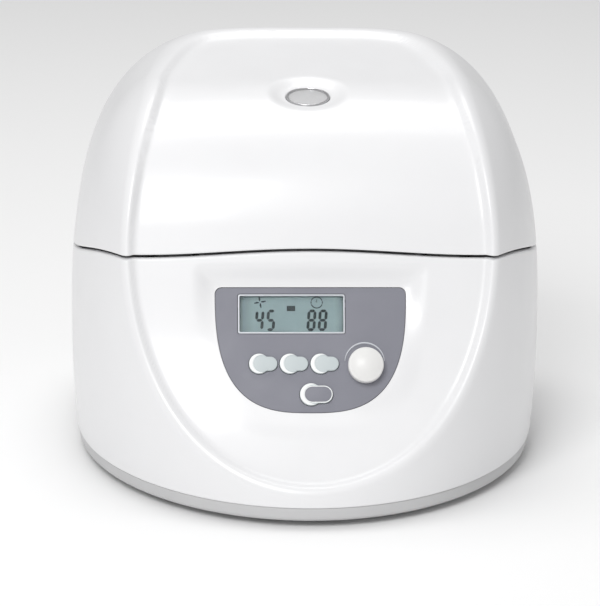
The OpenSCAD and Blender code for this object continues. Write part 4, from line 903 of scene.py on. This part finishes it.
def make_materials():
    """Every material by the name of its slot."""
    white = (0.80, 0.80, 0.81)
    return {
        "body_white": surface("body_white", white, 0.34, vary=0.008, grain=1500, bump=0.03, wear=1.02, coat=0.25),
        "inner_white": surface("inner_white", (0.72, 0.72, 0.73), 0.5, vary=0.02, bump=0.08),
        "tray_grey": surface("tray_grey", (0.54, 0.54, 0.545), 0.5, vary=0.03, bump=0.1),
        "panel_grey": surface("panel_grey", (0.226, 0.228, 0.264), 0.62, vary=0.015, grain=2200, bump=0.05, wear=1.15),
        "key_pale": surface("key_pale", (0.52, 0.57, 0.58), 0.4, vary=0.02, wear=1.12),
        "key_white": surface("key_white", (0.88, 0.90, 0.90), 0.35, vary=0.01),
        "knob_white": surface("knob_white", (0.76, 0.755, 0.745), 0.45, vary=0.012, coat=0.1),
        "frame_pale": surface("frame_pale", (0.60, 0.62, 0.66), 0.3, vary=0.02),
        # The display's ground is its own grey-green, with painted shade in the second colour towards its edges.
        "lcd_module": screen_material("lcd_module", (0.30, 0.37, 0.385), (0.03, 0.045, 0.05)),
        "lcd_ink": surface("lcd_ink", (0.006, 0.014, 0.018), 0.4, vary=0.1),
        "lcd_window": clear_material("lcd_window", (0.92, 0.97, 0.97), 0.02, 1.0),
        "board_green": surface("board_green", (0.02, 0.12, 0.06), 0.35, vary=0.2, grain=500, bump=0.2),
        "steel": surface("steel", (0.60, 0.61, 0.62), 0.3, 1.0, vary=0.06, grain=700, bump=0.08, streak=(1, 1, 14)),
        "zinc_steel": surface("zinc_steel", (0.50, 0.50, 0.51), 0.38, 1.0, vary=0.1, grain=1200, bump=0.1),
        "rotor_alloy": surface("rotor_alloy", (0.62, 0.63, 0.65), 0.42, 1.0, vary=0.05, grain=1600, bump=0.08),
        "black_rubber": surface("black_rubber", (0.018, 0.018, 0.02), 0.75, vary=0.25, bump=0.25, wear=2.0),
        "grey_rubber": surface("grey_rubber", (0.08, 0.08, 0.085), 0.7, vary=0.15, bump=0.2, wear=1.5),
        "black_plastic": surface("black_plastic", (0.02, 0.02, 0.022), 0.42, vary=0.2, bump=0.15, wear=2.2),
        "motor_dark": surface("motor_dark", (0.05, 0.05, 0.06), 0.45, 0.4, vary=0.15, bump=0.15, wear=1.8),
        "contact_brass": surface("contact_brass", (0.72, 0.55, 0.25), 0.3, 1.0, vary=0.06),
        "sight_clear": clear_material("sight_clear", (0.80, 0.80, 0.81), 0.12, 0.4),
        "sight_metal": surface("sight_metal", (0.55, 0.55, 0.56), 0.25, 1.0, vary=0.05),
    }


def dress(piece, mat, body, slot, *nodes):
    """Gives a piece its material and body, and hides the CAD nodes it stands for."""
    piece.data.materials.clear()
    piece.data.materials.append(mat)
    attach(piece, body)
    if nodes:
        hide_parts(*nodes)
    return piece


# Light, floor and camera

WORLD_LIGHT, LIGHT_AIM = 0.5, (0, 0, 0.12)
LAMPS = (("key", (-0.55, -1.65, 1.5), 0.9, 23), ("top", (-0.1, 0.5, 1.9), 1.2, 12))
FLOOR_HALF, FLOOR_PALE = 6.0, (0.93, 0.93, 0.93, 1)


def area(name, place, size, power):
    """A square soft light that looks at the middle of the machine."""
    data = bpy.data.lights.new(name, "AREA")
    data.shape = "RECTANGLE"
    data.size = size
    data.size_y = size
    data.energy = power
    lamp = bpy.data.objects.new(name, data)
    bpy.context.collection.objects.link(lamp)
    lamp.location = Vector(place)
    lamp.rotation_euler = (Vector(LIGHT_AIM) - Vector(place)).to_track_quat("-Z", "Y").to_euler()


def studio():
    """The soft studio light and the pale floor."""
    bpy.context.scene.view_settings.view_transform = "Standard"
    world = bpy.data.worlds.new("studio")
    bpy.context.scene.world = world
    world.use_nodes = True
    ground = world.node_tree.nodes["Background"]
    ground.inputs["Color"].default_value = (1.0, 1.0, 1.0, 1)
    ground.inputs["Strength"].default_value = WORLD_LIGHT
    for lamp in LAMPS:
        area(*lamp)
    size = FLOOR_HALF
    mesh = bpy.data.meshes.new("floor")
    corners = [(-size, -size, 0), (size, -size, 0), (size, size, 0), (-size, size, 0)]
    mesh.from_pydata(corners, [], [(0, 1, 2, 3)])
    floor = bpy.data.objects.new("floor", mesh)
    bpy.context.collection.objects.link(floor)
    mat, nodes, links, bsdf = new_material("floor")
    bsdf.inputs["Base Color"].default_value = FLOOR_PALE
    bsdf.inputs["Roughness"].default_value = 0.9
    mesh.materials.append(mat)


PHOTO_W, PHOTO_H = 600, 606
FOCAL_PX = 3628.9
PRINCIPAL_X = 305.07
VIEW_AZ, VIEW_EL, VIEW_ROLL = math.radians(-1.778), math.radians(15.662), math.radians(0.458)
VIEW_DIST, SENSOR_W = 2.2, 36.0
TARGET = Vector((0, 0, 0.08751))


def camera():
    """The photo's view, from the fitted angles, distance and focal length."""
    data = bpy.data.cameras.new("view")
    data.sensor_fit = "HORIZONTAL"
    data.sensor_width = SENSOR_W
    data.lens = FOCAL_PX * SENSOR_W / PHOTO_W
    data.shift_x = (PHOTO_W / 2 - PRINCIPAL_X) / PHOTO_W
    data.clip_start = 0.1
    data.clip_end = 50
    cam = bpy.data.objects.new("view", data)
    bpy.context.collection.objects.link(cam)
    flat = math.cos(VIEW_EL)
    back = Vector((math.sin(VIEW_AZ) * flat, -math.cos(VIEW_AZ) * flat, math.sin(VIEW_EL)))
    cam.location = TARGET + back * VIEW_DIST
    look = (-back).to_track_quat("-Z", "Y").to_matrix().to_4x4()
    cam.matrix_world = Matrix.Translation(cam.location) @ look @ Matrix.Rotation(VIEW_ROLL, 4, "Z")
    bpy.context.scene.camera = cam


# Assembly

def build():
    """Colours the CAD nodes, and makes the pieces that take their place."""
    mats = make_materials()
    for node, thing in frame["nodes"].items():
        slot = next(s["material_slot"] for s in frame["record"]["subparts"] if s["node"] == node)
        thing.data.materials.clear()
        thing.data.materials.append(mats[slot])
    dress(base_shell(), mats["body_white"], "base", "body_white", "base_housing")
    dress(lid_shell(), mats["body_white"], "lid", "body_white", "lid_shell")
    dress(tray(), mats["tray_grey"], "base", "tray_grey", "base_tray")
    dress(tray_posts(), mats["tray_grey"], "base", "tray_grey")
    dress(control_panel(), mats["panel_grey"], "base", "panel_grey", "control_panel")
    for index, u in enumerate(KEY_US):
        body = ("key_one", "key_two", "key_three")[index]
        cap, rim = small_key(index, u)
        dress(cap, mats["key_pale"], body, "key_pale", body)
        dress(rim, mats["key_white"], body, "key_pale")
    cap, rim, inset, wire = start_key()
    dress(cap, mats["key_pale"], "start_key", "key_pale", "start_key")
    dress(rim, mats["key_white"], "start_key", "key_pale")
    dress(inset, mats["panel_grey"], "start_key", "key_pale")
    dress(wire, mats["key_white"], "start_key", "key_pale")
    cap, arc = knob()
    dress(cap, mats["knob_white"], "knob", "knob_white", "knob")
    dress(arc, mats["frame_pale"], "base", "frame_pale", "knob_arc")
    rim, screen, glass, marks = display()
    dress(rim, mats["frame_pale"], "base", "frame_pale", "display_frame")
    dress(screen, mats["lcd_module"], "base", "lcd_module", "display_module")
    dress(glass, mats["lcd_window"], "base", "lcd_window", "display_window")
    dress(marks, mats["lcd_ink"], "base", "lcd_module")
    ring, pane = sight()
    dress(ring, mats["sight_metal"], "lid", "zinc_steel", "sight_ring")
    dress(pane, mats["sight_clear"], "lid", "sight_clear", "sight_glass")


build()
studio()
camera()
